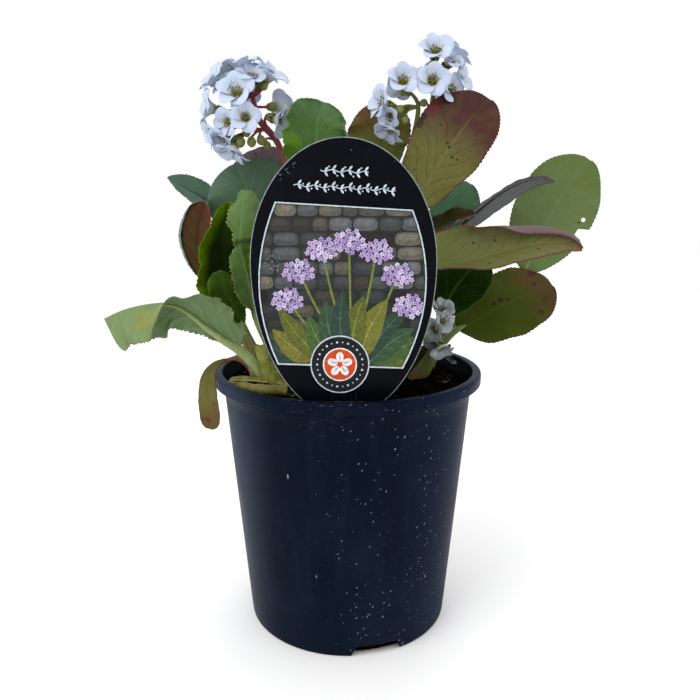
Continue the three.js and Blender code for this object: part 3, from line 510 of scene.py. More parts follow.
pot_outline = [
    (0, 0), (FLAT_FOOT, 0), *arc((FOOT_RADIUS - FOOT_CORNER, FOOT_CORNER), FOOT_CORNER, -90, -5),
    *[(wall_radius(z), z) for z in np.linspace(12, NECK - 9, 9)],
    (wall_radius(NECK - 5.2), NECK - 5.2), (wall_radius(NECK - 4.6) + 0.5, NECK - 4.6),
    (wall_radius(NECK - 1.2) + 0.6, NECK - 1.2), (NECK_RADIUS + 1.2, NECK - 0.1),
    *arc((RIM_RADIUS - RING_CORNER, NECK + 1.3), RING_CORNER, -80, -5), (RIM_RADIUS, POT_HEIGHT - 2.4),
    *arc((RIM_RADIUS - RIM_CORNER, POT_HEIGHT - RIM_CORNER), RIM_CORNER, 10, 85),
    (RIM_BORE + 1.6, POT_HEIGHT),
    *arc((RIM_BORE + LIP_CORNER, POT_HEIGHT - LIP_CORNER), LIP_CORNER, 95, 175),
    (RIM_BORE - 0.5, NECK + 1.0),
    (NECK_RADIUS - WALL, NECK - 2.5), *[(wall_radius(z) - WALL, z) for z in np.linspace(120, 16, 5)],
    (FOOT_RADIUS - WALL - 0.6, FLOOR + 0.6), (FLAT_FOOT, FLOOR), (0, FLOOR),
]


def turned(outline, segments):
    """A closed outline that starts and ends on the axis, swung round it."""
    rings = [[(r * np.cos(a), r * np.sin(a), z) for a in once_round(segments)] for r, z in outline[1:-1]]
    points = [(0, 0, outline[0][1]), (0, 0, outline[-1][1])] + [p for ring in rings for p in ring]
    faces = []
    for k in range(segments):
        n = (k + 1) % segments
        last = 2 + (len(rings) - 1) * segments
        faces += [(0, 2 + n, 2 + k), (1, last + k, last + n)]
        for i in range(len(rings) - 1):
            a = 2 + i * segments
            faces.append((a + k, a + n, a + segments + n, a + segments + k))
    return points, faces


def notch_block(turn, height, length, depth):
    """One tapered foot notch as a block that reaches out past the wall and below the foot."""
    half, slope, shoulder = length / 2, NOTCH_SLOPE, height * 0.75
    face = [(-half, -NOTCH_BEYOND), (half, -NOTCH_BEYOND), (half, 0), (half - slope * 0.5, shoulder),
            (half - slope, height), (slope - half, height), (slope * 0.5 - half, shoulder), (-half, 0)]
    cos, sin = np.cos(turn), np.sin(turn)
    points = []
    for radius in (FOOT_RADIUS - depth, FOOT_RADIUS + NOTCH_BEYOND):
        points += [(radius * cos - y * sin, radius * sin + y * cos, z) for y, z in face]
    count = len(face)
    faces = [(k, (k + 1) % count, (k + 1) % count + count, k + count) for k in range(count)]
    faces += [tuple(range(count))[::-1], tuple(range(count, 2 * count))]
    return points, faces


def loose(name, points, faces):
    """A plain helper piece for a Boolean."""
    return placed(name, mesh_of(name, points, faces))


def carve(target, helper, operation):
    """Cuts or joins a helper into the target and takes the helper away."""
    step = target.modifiers.new(operation, "BOOLEAN")
    step.operation = operation
    step.object = helper
    step.solver = "EXACT"
    with bpy.context.temp_override(object=target, active_object=target):
        bpy.ops.object.modifier_apply(modifier=step.name)
    bpy.data.objects.remove(helper)


print("the pot's outline has", len(pot_outline), "points")

# %% [markdown]
# Dark plastic is never one flat colour. A film of dust lies thinly over it, thicker towards the foot;
# potting mix has splashed fine pale specks, more on one side; handling has left short light scratches
# on the rim; and the mould has left a faint orange-peel skin. Light and shade are painted in as well:
# a pale sheen down the left side, a bluer sheen on the right and near-black shade on the inner wall.
# Each is a mask of its own, so that one can be made stronger without touching the rest, and the skin's
# colour is laid on mask by mask.

# %% Finish of the pot
pot_finish = Finish("dark_pot_plastic", "pot", 0.02)
spot = pot_finish.place()
height = spot.axis("Z")
side = spot.axis("X")
dust = spot.cloud(45, 4, 0.6).rise(0.42, 0.75) * 0.4 + height.fall(5, 60) * 0.12
draw = spot.stretch(1, 1, 0.06).cloud(5, 3, 0.6).rise(0.45, 0.8) * 0.35
skin = dust.blend((9, 17, 30), (26, 36, 54))
skin = skin.coat(draw, 22, 32, 50)
# Painted sheen: the left side is lightened in the colour, for the key lamp's highlight on the plastic.
skin = skin.coat(side.fall(-78, -38) * 0.8, 50, 60, 77)
slanted = {"X": side - height * 0.5, "Y": spot.axis("Y"), "Z": height * 0.5}
grit_place = pot_finish.add("ShaderNodeCombineXYZ", {}, slanted)
grit = grit_place.cells(2.0)
grit_size = grit_place.lot(2.0, "X")
crowd = spot.cloud(22, 3).rise(0.26, 0.5) * (side.rise(-38, 12) * 0.85 + 0.15)
specks = (grit_size * 0.21 * crowd - grit).rise(-0.01, 0.05) * grit_size.above(0.45)
tall = spot.stretch(1, 1, 0.35)
fleck = (0.075 - tall.cells(8)).rise(0, 0.02) * tall.lot(8, "Y").above(0.8)
specks = specks.math("MAXIMUM", fleck)
scratch = spot.stretch(0.25, 0.25, 2.2).cloud(2.2, 3, 0.7).rise(0.66, 0.74)
rubbed = spot.apart((-17, -81, 157)).fall(8, 24)
scratch = scratch * (height.rise(NECK - 1, NECK + 3) * 0.6 + 0.12)
rub = spot.stretch(0.4, 0.4, 1.6).cloud(1.6, 4, 0.75).rise(0.6, 0.74)
scratch = scratch.math("MAXIMUM", rub * rubbed * 0.55)
# Painted sheen: the right side is turned bluer in the colour, for the cool sheen on the plastic there.
skin = skin.coat(side.rise(20, 78) * 0.55, 24, 38, 62)
skin = skin.coat(specks * 0.6, 140, 156, 176)
skin = skin.coat(scratch, 104, 118, 138)
# Painted shade: the inner wall and the ledge below the rim are painted near black, for the shade inside the
# pot.
radial = spot.stretch(1, 1, 0).apart((0, 0, 0))
inside = (height * (NECK_RADIUS - FOOT_RADIUS) / NECK + FOOT_RADIUS - 0.2 - radial).rise(0, 0.4)
bore = height.rise(NECK - 0.3, NECK + 0.3) * radial.fall(RIM_BORE + 0.6, RIM_BORE + 1.6)
inside = inside.math("MAXIMUM", bore)
skin = skin.coat(inside * 0.85, 5, 7, 10)
peel = spot.cloud(0.9, 2) * 0.25 + spot.cloud(9, 3) * 0.5 + specks * 0.4
pot_finish.wear(skin, 0.36 + dust * 0.25 + specks * 0.3, peel, 0.12)
print("the pot's finish has", len(pot_finish.tree.nodes), "nodes")

# %% The pot itself
CORE_HEIGHT = 14
CORE_LIFT = 0.1
CORE_SEGMENTS = 96
DRAIN_SIDES = 24

pile = Pile()
pile.add(*turned(pot_outline, POT_SEGMENTS))
pot = pile.make("pot_moulded", pot_finish, replaces=["pot"])
turns = [NOTCH_ANGLE + 2 * np.pi * k / NOTCH_COUNT for k in range(NOTCH_COUNT)]
core = [(0, CORE_LIFT), (wall_radius(0) - 1, CORE_LIFT),
        (wall_radius(CORE_HEIGHT) - 1, CORE_HEIGHT), (0, CORE_HEIGHT)]
for turn in turns:
    pocket = notch_block(turn, NOTCH_HEIGHT + WALL, NOTCH_LENGTH + 2 * WALL, NOTCH_DEPTH + WALL)
    pocket = loose("pocket", *pocket)
    carve(pocket, loose("foot_core", *turned(core, CORE_SEGMENTS)), "INTERSECT")
    carve(pot, pocket, "UNION")
for turn in turns:
    notch = notch_block(turn, NOTCH_HEIGHT, NOTCH_LENGTH, NOTCH_DEPTH)
    carve(pot, loose("notch", *notch), "DIFFERENCE")
    reach = FOOT_RADIUS - NOTCH_DEPTH / 2
    middle = np.array([reach * np.cos(turn), reach * np.sin(turn), 0])
    ends = [middle + [0, 0, NOTCH_HEIGHT - 2], middle + [0, 0, NOTCH_HEIGHT + 6]]
    carve(pot, loose("drain", *limb(ends, [DRAIN_RADIUS] * 2, DRAIN_SIDES)), "DIFFERENCE")
print("pot:", len(pot.data.polygons), "faces, notches cut:", NOTCH_COUNT)

# %% [markdown]
# ## Leaves
# A bergenia leaf is a thick round petiole that runs on as the leaf's pale keel, and a leathery blade
# with small blunt teeth that lean forward. Each leaf is described by a line from crown to tip, the way
# its upper side looks along that line, its width, and how far each half folds and curls. The same
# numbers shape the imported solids. Here the blade gets three rows to each tooth, sunken side veins and
# a soft wave, so that the light breaks on it as on a real leaf.

# %% How one blade is shaped
TOOTH_PITCH = 2.2
TOOTH_DEPTH = 0.38
TOOTH_FADE = 4
BLADE_COLUMNS = 15
BLADE_THICKNESS = 0.75
WAVE_HEIGHT = 1.2
WAVE_COUNT = 3
WAVE_SHIFT = 1.3
VEIN_PITCH = 10.5
VEIN_SLANT = 1.9
VEIN_BEND = 0.012
VEIN_SINK = 0.16
VEIN_WIDTH = 1.1
RIB_SINK = 0.3
RIB_WIDTH = 1.6
ROLL_FROM = 0.68
TUCK_AT = 0.615
TUCK_RISE = 0.02
TUCK_REACH = 0.2


def vein_walk(along, out, side, shift):
    """Counts side veins along the blade: a vein runs where this is a whole number."""
    slant = VEIN_SLANT - 0.009 * along
    drift = 1.7 * np.sin(0.11 * along + 0.2 * out + shift)
    drift = drift + 1.1 * np.sin(0.27 * out - 0.16 * along + 2 * shift)
    return (along - slant * out + VEIN_BEND * out**2 + drift) / VEIN_PITCH + (0.5 if side > 0 else 0)


def teeth_of(rows, plain, chance):
    """How far each row of the margin stands out: a slow rise and a sharp drop for each tooth."""
    pattern = np.array([-0.75, 0.05, 0.6])
    steps = np.arange(rows + 1)
    sizes = chance.uniform(0.55, 1.35, rows // 3 + 2)[steps // 3]
    return pattern[steps % 3] * sizes * np.minimum(1, plain / TOOTH_FADE)


def half_of(leaf, key, hand, plain):
    """What a leaf says of one half, or of both halves, or else the plain value."""
    return leaf.get(f"{key}_{hand}", leaf.get(key, plain))


def relief_of(leaf, t, v, wide, side, along, shift):
    """How high the skin stands at a share v of the way out: waves, ruffle, sunken veins and rib, tuck."""
    phase = 2 * np.pi * WAVE_COUNT * t + (WAVE_SHIFT if side > 0 else 0)
    wave = leaf.get("wave", 1) * WAVE_HEIGHT * np.sin(phase) * v * v * np.minimum(1, wide / 6)
    wave += leaf.get("ruffle", 0.15) * np.sin(3.1 * phase + 2) * v**4
    walk = vein_walk(along, v * wide, side, shift)
    gap = np.abs(walk - np.round(walk)) * VEIN_PITCH * 0.5
    wave -= leaf.get("sink", VEIN_SINK) * np.exp(-((gap / VEIN_WIDTH) ** 2)) * min(1, 4 * v) * (1 - v**6)
    wave -= RIB_SINK * np.exp(-((v * wide / RIB_WIDTH) ** 2))
    past = t - TUCK_AT - 0.03 * side * v + 0.006 * np.sin(20 * v)
    wave += leaf.get("tuck", 0) * np.clip(past / TUCK_RISE, 0, 1) * np.exp(-((past / TUCK_REACH) ** 2))
    return wave, walk


def blade_grid(leaf, line, chance):
    """The blade's middle sheet, rows from foot to tip, with what its finish reads and its thickness."""
    start = line.marks[len(leaf["stem"])]
    length = (1 - start) * line.length
    rows = 3 * round(length / TOOTH_PITCH * 1.15)
    t = (1 - np.cos(np.pi * (0.06 + 0.905 * np.linspace(0, 1, rows + 1)))) / 2
    late, blunt = leaf.get("shape", (0.75, 0.5))
    widest = late / (late + blunt)
    plain = leaf["width"] * t**late * (1 - t) ** blunt / (widest**late * (1 - widest) ** blunt)
    share = start + (1 - start) * t
    centre, ahead = line.at(share), line.ahead(share)
    up = square_to(ahead, eased(leaf["face"], t))
    right = np.cross(ahead, up)
    rolled = leaf.get("roll_from", ROLL_FROM)
    halves = []
    for side, hand in ((-1, "left"), (1, "right")):
        wide = plain * eased(half_of(leaf, "spread", hand, [1]), t)
        margin = TOOTH_DEPTH * leaf.get("teeth", 1) * teeth_of(rows, wide, chance)
        shift = chance.uniform(0, 6)
        for middle, reach, depth in half_of(leaf, "bites", hand, []):
            margin = margin - depth * np.exp(-(((t - middle) / reach) ** 4))
        bends = [half_of(leaf, bend, hand, [0]) for bend in ("fold", "curl", "roll")]
        fold, curl, roll = [np.radians(eased(bend, t)) for bend in bends]
        columns = []
        across, lift, last_out, last_angle = 0, 0, 0, fold
        for x in np.linspace(0, 1, BLADE_COLUMNS + 1):
            v = 1 - (1 - x) ** 1.25
            out = v * wide + margin * np.clip((v - 0.75) / 0.25, 0, 1)
            angle = fold + curl * v + roll * np.clip((v - rolled) / (1 - rolled) * 2, 0, 1)
            across = across + (out - last_out) * np.cos((angle + last_angle) / 2)
            lift = lift + (out - last_out) * np.sin((angle + last_angle) / 2)
            last_out, last_angle = out, angle
            normal = -side * np.sin(angle)[:, None] * right + np.cos(angle)[:, None] * up
            wave, walk = relief_of(leaf, t, v, wide, side, t * length, shift)
            place = centre + side * right * across[:, None] + up * lift[:, None] + normal * wave[:, None]
            chart = np.stack([side * v * wide, t * length, 0 * t], 1)
            columns.append((side * v, place, chart, wide * (1 - v), walk))
        halves.append(columns)
    columns = halves[0][:0:-1] + halves[1]
    grid, chart, edge, walk = (np.stack([c[part] for c in columns], 1) for part in (1, 2, 3, 4))
    thickness = BLADE_THICKNESS * (1 - 0.35 * np.square([c[0] for c in columns]))
    notes = dict(chart=chart, edge=edge, walk=walk, along=np.broadcast_to(t[:, None], edge.shape))
    return grid, notes, thickness


print("teeth every", TOOTH_PITCH, "mm, side veins every", VEIN_PITCH, "mm")

# %% How one petiole is shaped
PETIOLE_SIDES = 14
STALK = (2.5, 2.0)
KEEL_REACH = 0.82
KEEL_TIP = 0.35
SHEATH_FLARE = 0.28
SHEATH_HEIGHT = 22
PETIOLE_ROWS = 26


def petiole(leaf, line):
    """The round stalk from below the soil, running on under the blade and thinning to its tip."""
    start = line.marks[len(leaf["stem"])]
    base, top = leaf.get("stalk", STALK)
    end = start + (1 - start) * KEEL_REACH
    share = np.concatenate([np.linspace(0, start, PETIOLE_ROWS), np.linspace(start, end, PETIOLE_ROWS)[1:]])
    radius = np.interp(share, [0, start], [base, top])
    radius += base * SHEATH_FLARE * np.exp(-share * line.length / SHEATH_HEIGHT)
    under = np.clip((share - start) / (end - start), 0, 1)
    radius = np.where(share > start, top + (KEEL_TIP - top) * under**0.6, radius)
    centres = line.at(share)
    ahead = line.ahead(share)
    up = square_to(ahead, eased(leaf["face"], under))
    sink = np.where(share > start, (radius + 0.2) * np.minimum(1, under * 7), 0)
    return limb(centres - up * sink[:, None], radius, PETIOLE_SIDES, flutes=0.1, flute_count=3)


print("a petiole is", 2 * STALK[0], "mm thick at its foot and has", PETIOLE_SIDES, "sides")

# %% [markdown]
# The leaf's finish follows the plant. The blade runs from its foot to its tip through three colours,
# shifted by soft patches. Side veins leave the midrib at a slant and bend towards the tip, a fine net
# lies between them, and the margin has a coloured rim. Cold turns old leaves bronze and leaves brown
# spots. The underside is paler. The chart on the mesh gives each point's distance from the midrib
# and from the blade's foot, so the veins in the colour lie in the veins of the mesh.

# %% Finish of a blade
def leaf_finish(name, look):
    """One leaf's own finish: a look's paints, with patches and spots that no other leaf has."""
    finish = Finish(name + "_blade", look["slot"], look.get("shine", 0.1))
    chance = chance_for(name)
    chart = finish.note("chart", "Vector")
    drift = tuple(chance.uniform(-200, 200, 3))
    moved = chart.vector("ADD", drift)
    out = chart.axis("X").size()
    wobble = moved.cloud(12, 3) - 0.5
    walk = finish.note("walk") + wobble * 0.25
    gap = ((walk + 0.5).part_of_one() - 0.5).size() * VEIN_PITCH * 0.55
    width = look.get("vein_width", 0.36)
    veins = (gap + moved.cloud(7) * 0.3).fall(0.12, width + 0.15) * out.fall(10, 30)
    branch = walk * 1.31 + out * 0.07 + wobble * 0.3
    branch = (branch.part_of_one() - 0.5).size() * VEIN_PITCH * 0.4 + moved.cloud(9) * 0.3
    veins = veins.math("MAXIMUM", branch.fall(0.1, width) * out.rise(3, 8) * 0.6)
    rib = (out + finish.note("along") * 0.9).fall(0.7, 1.7)
    net = moved.cells(2.6, "DISTANCE_TO_EDGE").fall(0.0, 0.14)
    along_share = finish.note("along") + (moved.cloud(15, 3) - 0.5) * look.get("drift", 0.5)
    foot, middle, tip = look["blade"]
    colour = along_share.rise(0.02, 0.42).blend(foot, middle)
    colour = colour.coat(along_share.rise(*look.get("turn", (0.55, 0.95))), *tip)
    patch = moved.cloud(6, 4, 0.6)
    colour = colour.coat(patch.rise(0.35, 0.75) * 0.35, *look["patch"])
    colour = colour.coat(net * look.get("net_show", 0.12), *look["vein"])
    colour = colour.coat(veins * look.get("vein_show", 0.5), *look["vein"])
    colour = colour.coat(rib * look.get("rib_show", 0.8), *look.get("rib", look["vein"]))
    rim = (finish.note("edge") + (moved.cloud(2.2, 3) - 0.5) * 1.6).fall(0.15, look.get("rim", 1.1))
    colour = colour.coat(rim * 0.85, *look["edge"])
    marks = 0
    if look.get("spots"):
        pick = moved.lot(6.5, "X")
        marks = (moved.cells(6.5) + moved.cloud(1.2) * 0.08).fall(0.08, 0.15)
        marks = marks * pick.above(1 - look["spots"])
        colour = colour.coat(marks * 0.85, *look.get("spot", (52, 30, 24)))
    for place, size, tint in look.get("blotches", []):
        apart = chart.apart((*place, 0))
        blot = (apart + (moved.cloud(2.5, 3) - 0.5) * size).fall(size * 0.6, size)
        colour = colour.coat(blot * 0.8, *tint)
    under = ((veins * 0.6 + net * 0.25) * 0.6).blend(*look["under"])
    under = under.coat(rim * look.get("under_rim", 0.8), *look["edge"])
    colour = finish.mix(finish.note("under"), colour, under)
    grain = moved.cloud(1.1, 3)
    relief = grain * 0.5 - veins * 0.5 - net * 0.25 - rib * 0.3
    finish.wear(colour, look.get("gloss", 0.42) + grain * 0.12 + marks * 0.2, relief, 0.14)
    for place, size in look.get("holes", []):
        apart = chart.apart((*place, 0))
        finish.feed(finish.shader.inputs["Alpha"], apart.above(size))
    return finish


print("side veins are painted every", VEIN_PITCH, "mm, where the mesh sinks them")


# %% Finish of the stalks
def stalk_finish(name, slot, pale, dark, flush):
    """A fleshy stalk: pale, with darker lines along it, painted shade that darkens it towards its foot, and a
    flush of red there.
    """
    finish = Finish(name, slot, 0.2)
    spot = finish.place()
    lines = spot.stretch(1, 1, 0.12).cloud(1.4, 3).rise(0.35, 0.7)
    colour = (lines * 0.6).blend(pale, dark)
    # Painted shade: the stalk is darkened from about 195 mm down to its foot, for the shade under the leaves;
    # the red flush on the same mask is the stalk's own colour.
    foot = spot.axis("Z").fall(152, 195)
    colour = colour.coat(foot * 0.55, *dark)
    colour = colour.coat(spot.cloud(9, 2).rise(0.4, 0.7) * foot * 0.7, *flush)
    return finish.wear(colour, 0.4 + lines * 0.12, lines + spot.cloud(0.8) * 0.4, 0.08)


STALKS = {
    "green": stalk_finish("petiole_green", "leaf_pale", (118, 134, 74), (84, 98, 40), (104, 72, 50)),
    "pale": stalk_finish("petiole_pale", "leaf_pale", (148, 164, 108), (118, 134, 74), (126, 112, 70)),
    "steel": stalk_finish("petiole_steel", "leaf_green", (62, 86, 70), (52, 74, 58), (60, 70, 54)),
    "olive": stalk_finish("petiole_olive", "leaf_bronze", (96, 98, 54), (70, 70, 34), (92, 44, 42)),
    "shade": stalk_finish("petiole_shade", "leaf_green", (62, 68, 30), (38, 44, 14), (56, 34, 22)),
    "dry": stalk_finish("petiole_dry", "leaf_bronze", (140, 112, 86), (104, 78, 56), (120, 84, 64)),
}
print("petiole finishes:", ", ".join(STALKS))

# %% [markdown]
# No two leaves of the plant are the same colour: the young ones are pale or lime green, the shaded ones
# blue-green, and those that stood through the winter are bronze, maroon or olive. Each look lists the
# blade's paints from foot to tip, its patches, veins and edge, and the underside with its own veins.
# Then come how wide the rim is, how much of a paint shows and, for some leaves, blotches: where they lie
# on the chart, how big they are and their colour.

# %% The looks of the leaves
LOOKS = {
    "pale": dict(
        slot="leaf_pale", blade=[(98, 117, 70), (102, 124, 84), (112, 132, 88)], patch=(122, 138, 82),
        vein=(126, 148, 108), edge=(112, 100, 54), under=[(100, 122, 82), (134, 154, 112)],
        rim=0.8, gloss=0.5, vein_width=0.6, rib=(150, 160, 124), under_rim=0.1,
        blotches=[((-9, 62), 8, (128, 134, 70)), ((-12, 52), 6, (134, 138, 74)),
                  ((6, 60), 6, (124, 134, 78))]),
    "fresh": dict(
        slot="leaf_pale", blade=[(64, 88, 36), (76, 104, 48), (88, 114, 66)], patch=(54, 80, 24),
        vein=(106, 132, 84), edge=(110, 122, 56), under=[(98, 122, 76), (124, 146, 98)],
        rim=1.0, gloss=0.46, vein_width=0.4, rib_show=0.4, vein_show=0.4),
    # Painted light and shade: the broad bright rim stands for the lit margin of the cupped leaf, and the
    # near-black middle and patches for the shade inside its cup.
    "lime": dict(
        slot="leaf_pale", blade=[(50, 78, 2), (14, 30, 0), (38, 56, 2)], patch=(8, 20, 0),
        vein=(30, 48, 2), edge=(92, 122, 8), under=[(66, 98, 18), (88, 118, 40)],
        rim=10, vein_show=0.2, shine=0.04, rib_show=0.1, net_show=0.05),
    "young": dict(
        slot="leaf_green", blade=[(40, 62, 10), (42, 66, 10), (56, 82, 22)], patch=(28, 48, 2),
        vein=(62, 88, 32), edge=(80, 106, 36), under=[(70, 100, 40), (90, 118, 56)],
        rim=1.2, shine=0.05, rib_show=0.4),
    "steel": dict(
        slot="leaf_green", blade=[(54, 80, 62), (60, 84, 70), (62, 86, 72)], patch=(48, 72, 58),
        vein=(80, 104, 86), edge=(66, 84, 62), under=[(66, 92, 74), (86, 112, 92)],
        rim=0.6, vein_show=0.25, rib_show=0.15),
    "blue": dict(
        slot="leaf_green", blade=[(74, 120, 84), (92, 138, 102), (100, 146, 110)], patch=(80, 124, 86),
        vein=(94, 122, 98), edge=(70, 92, 70), under=[(72, 104, 80), (94, 122, 98)],
        rim=0.6, vein_show=0.4),
    "sage": dict(
        slot="leaf_green", blade=[(64, 90, 68), (74, 100, 78), (82, 106, 86)], patch=(64, 90, 68),
        vein=(100, 126, 100), edge=(88, 88, 76), under=[(76, 100, 78), (96, 116, 92)],
        rim=0.8, vein_show=0.6, rib_show=0.4, spots=0.06, spot=(50, 62, 50),
        blotches=[((-6.7, 34.9), 0.9, (40, 48, 40))]),
    "plum": dict(
        slot="leaf_bronze", blade=[(104, 116, 94), (122, 116, 112), (130, 114, 120)], patch=(112, 100, 104),
        vein=(70, 56, 62), edge=(84, 60, 64), under=[(88, 84, 84), (76, 60, 64)],
        rim=1.0, spots=0.06),
    "rust": dict(
        slot="leaf_bronze", blade=[(72, 66, 20), (70, 52, 22), (74, 42, 24)], patch=(54, 40, 14),
        vein=(46, 24, 14), edge=(120, 22, 32), under=[(112, 132, 124), (98, 118, 110)],
        rim=1.7, gloss=0.38, vein_show=0.85, under_rim=0),
    "dry": dict(
        slot="leaf_bronze", blade=[(100, 96, 52), (98, 96, 46), (88, 66, 36)], patch=(84, 80, 34),
        vein=(82, 76, 36), edge=(104, 62, 44), under=[(104, 96, 56), (86, 78, 44)],
        rim=1.4, spots=0.1, gloss=0.5, rib_show=0.3,
        blotches=[((0.6, 46.8), 2.4, (78, 46, 28)), ((5, 46.8), 1.5, (70, 40, 26)),
                  ((-5, 37), 1.2, (74, 50, 28))]),
    "grass": dict(
        slot="leaf_green", blade=[(58, 88, 16), (74, 104, 52), (82, 112, 70)], patch=(54, 88, 20),
        vein=(104, 132, 84), edge=(100, 130, 76), under=[(122, 138, 104), (136, 152, 116)],
        rim=0.8, gloss=0.45, rib_show=0.35,
        blotches=[((-17, 18), 9, (86, 128, 24)), ((4, 12), 8, (96, 126, 80))]),
    "brown": dict(
        slot="leaf_bronze", blade=[(88, 108, 38), (94, 96, 42), (104, 68, 46)], patch=(78, 74, 30),
        vein=(66, 44, 26), edge=(84, 44, 38), under=[(84, 78, 48), (68, 56, 36)],
        rim=1.0, spots=0.15, rib_show=0.25),
    "maroon": dict(
        slot="leaf_bronze", blade=[(98, 106, 52), (95, 95, 43), (66, 38, 32)], patch=(86, 74, 34),
        vein=(76, 30, 30), rib=(116, 112, 68), edge=(92, 26, 36), under=[(100, 92, 72), (84, 50, 48)],
        rim=1.0, spots=0.06, spot=(34, 20, 20), vein_show=0.9, vein_width=0.32, drift=0.3, gloss=0.4,
        rib_show=0.3, turn=(0.46, 0.8),
        blotches=[((-24, 56), 7, (96, 40, 44)), ((-24, 47), 3.0, (52, 30, 38)),
                  ((-24.5, 51), 2.6, (44, 26, 34)), ((0, 44.4), 1.4, (30, 20, 18)),
                  ((4.9, 40.7), 1.3, (30, 20, 18)), ((-2.5, 46), 1.1, (34, 22, 18)),
                  ((8, 40.7), 0.8, (34, 22, 18)), ((-12.4, 52.4), 1.0, (34, 20, 20)),
                  ((-15.3, 23), 1.0, (34, 22, 18)), ((-11.3, 24.6), 0.8, (34, 22, 18)),
                  ((-4, 74), 12, (62, 30, 28)), ((-26, 38), 4, (104, 46, 44))]),
    "small": dict(
        slot="leaf_bronze", blade=[(42, 48, 8), (46, 44, 8), (54, 40, 18)], patch=(34, 38, 4),
        vein=(70, 66, 32), edge=(76, 42, 38), under=[(86, 88, 46), (76, 66, 38)],
        rim=1.3),
    "lilac": dict(
        slot="leaf_bronze", blade=[(110, 120, 104), (120, 124, 124), (124, 118, 130)],
        patch=(112, 116, 114),
        vein=(110, 110, 112), edge=(76, 50, 62), under=[(96, 98, 100), (114, 114, 122)],
        rim=0.9, gloss=0.4, rib_show=0.15),
    "meadow": dict(
        slot="leaf_green", blade=[(94, 116, 66), (96, 114, 68), (86, 102, 52)], patch=(82, 102, 52),
        vein=(106, 126, 82), edge=(78, 96, 46), under=[(92, 114, 74), (112, 130, 92)],
        rim=0.7, vein_show=0.28, spots=0.03, rib_show=0.35,
        blotches=[((17, 41.7), 1.1, (50, 50, 30))], holes=[((18.7, 44.4), 1.3)]),
    "olive": dict(
        slot="leaf_bronze", blade=[(98, 120, 50), (98, 106, 58), (104, 98, 60)], patch=(92, 98, 46),
        vein=(112, 48, 44), rib=(116, 114, 66), edge=(96, 34, 48), under=[(104, 92, 92), (104, 66, 82)],
        rim=1.3, spots=0.04, spot=(30, 20, 18), vein_show=0.8, vein_width=0.32, gloss=0.4, rib_show=0.3,
        blotches=[((-10.5, 42.3), 1.0, (30, 20, 18)), ((-8.2, 54.9), 0.9, (36, 22, 20)),
                  ((5.6, 75.6), 1.1, (36, 24, 18)), ((8.8, 46.8), 1.0, (30, 20, 18)),
                  ((12, 62), 0.7, (36, 22, 20))]),
    # Painted shade: this look is painted nearly black, for a leaf deep in the shade of the crown.
    "deep": dict(
        slot="leaf_green", blade=[(12, 34, 0), (14, 38, 0), (24, 48, 2)], patch=(8, 26, 0),
        vein=(46, 74, 22), edge=(62, 88, 40), under=[(50, 76, 30), (70, 94, 46)],
        rim=0.6, gloss=0.36, vein_show=0.45, shine=0.04),
    "autumn": dict(
        slot="leaf_bronze", blade=[(48, 72, 0), (62, 76, 10), (82, 62, 34)], patch=(54, 64, 8),
        vein=(78, 56, 30), rib=(78, 88, 28), edge=(90, 44, 38), under=[(84, 86, 48), (76, 60, 42)],
        rim=1.0, spots=0.12, spot=(56, 30, 16), drift=0.6, gloss=0.38, rib_show=0.35,
        blotches=[((-3.9, 33), 2.2, (58, 30, 12)), ((-3.8, 28.5), 1.7, (50, 26, 10)),
                  ((-2, 37.4), 1.6, (56, 30, 14)), ((-13, 60), 3.4, (74, 32, 30)),
                  ((-4.5, 56.3), 1.8, (64, 34, 24)), ((8.5, 57), 3.0, (80, 44, 34)),
                  ((15, 50), 2.2, (60, 36, 16))]),
    "shade": dict(
        slot="leaf_green", blade=[(56, 88, 38), (66, 98, 48), (72, 104, 52)], patch=(52, 82, 34),
        vein=(102, 126, 78), edge=(82, 94, 48), under=[(88, 112, 74), (110, 128, 90)],
        rim=0.8, spots=0.05),
}
print("looks:", ", ".join(LOOKS))

# %% [markdown]
# Each leaf is one row of sizes. Its line runs through the points of `stem` and then of `rib`, and `face`
# is the way its upper side looks, from the blade's foot to its tip. `width` is half the blade at its
# widest, `shape` says how late it widens and how bluntly it ends, and `spread` widens or narrows it
# along the way. `fold` tips a half up at the midrib, `curl` bends it further out and `roll` turns its
# margin over, all in degrees. `bites` are gaps in the margin: where, how wide and how deep. A word with
# left or right behind it is for that half alone.

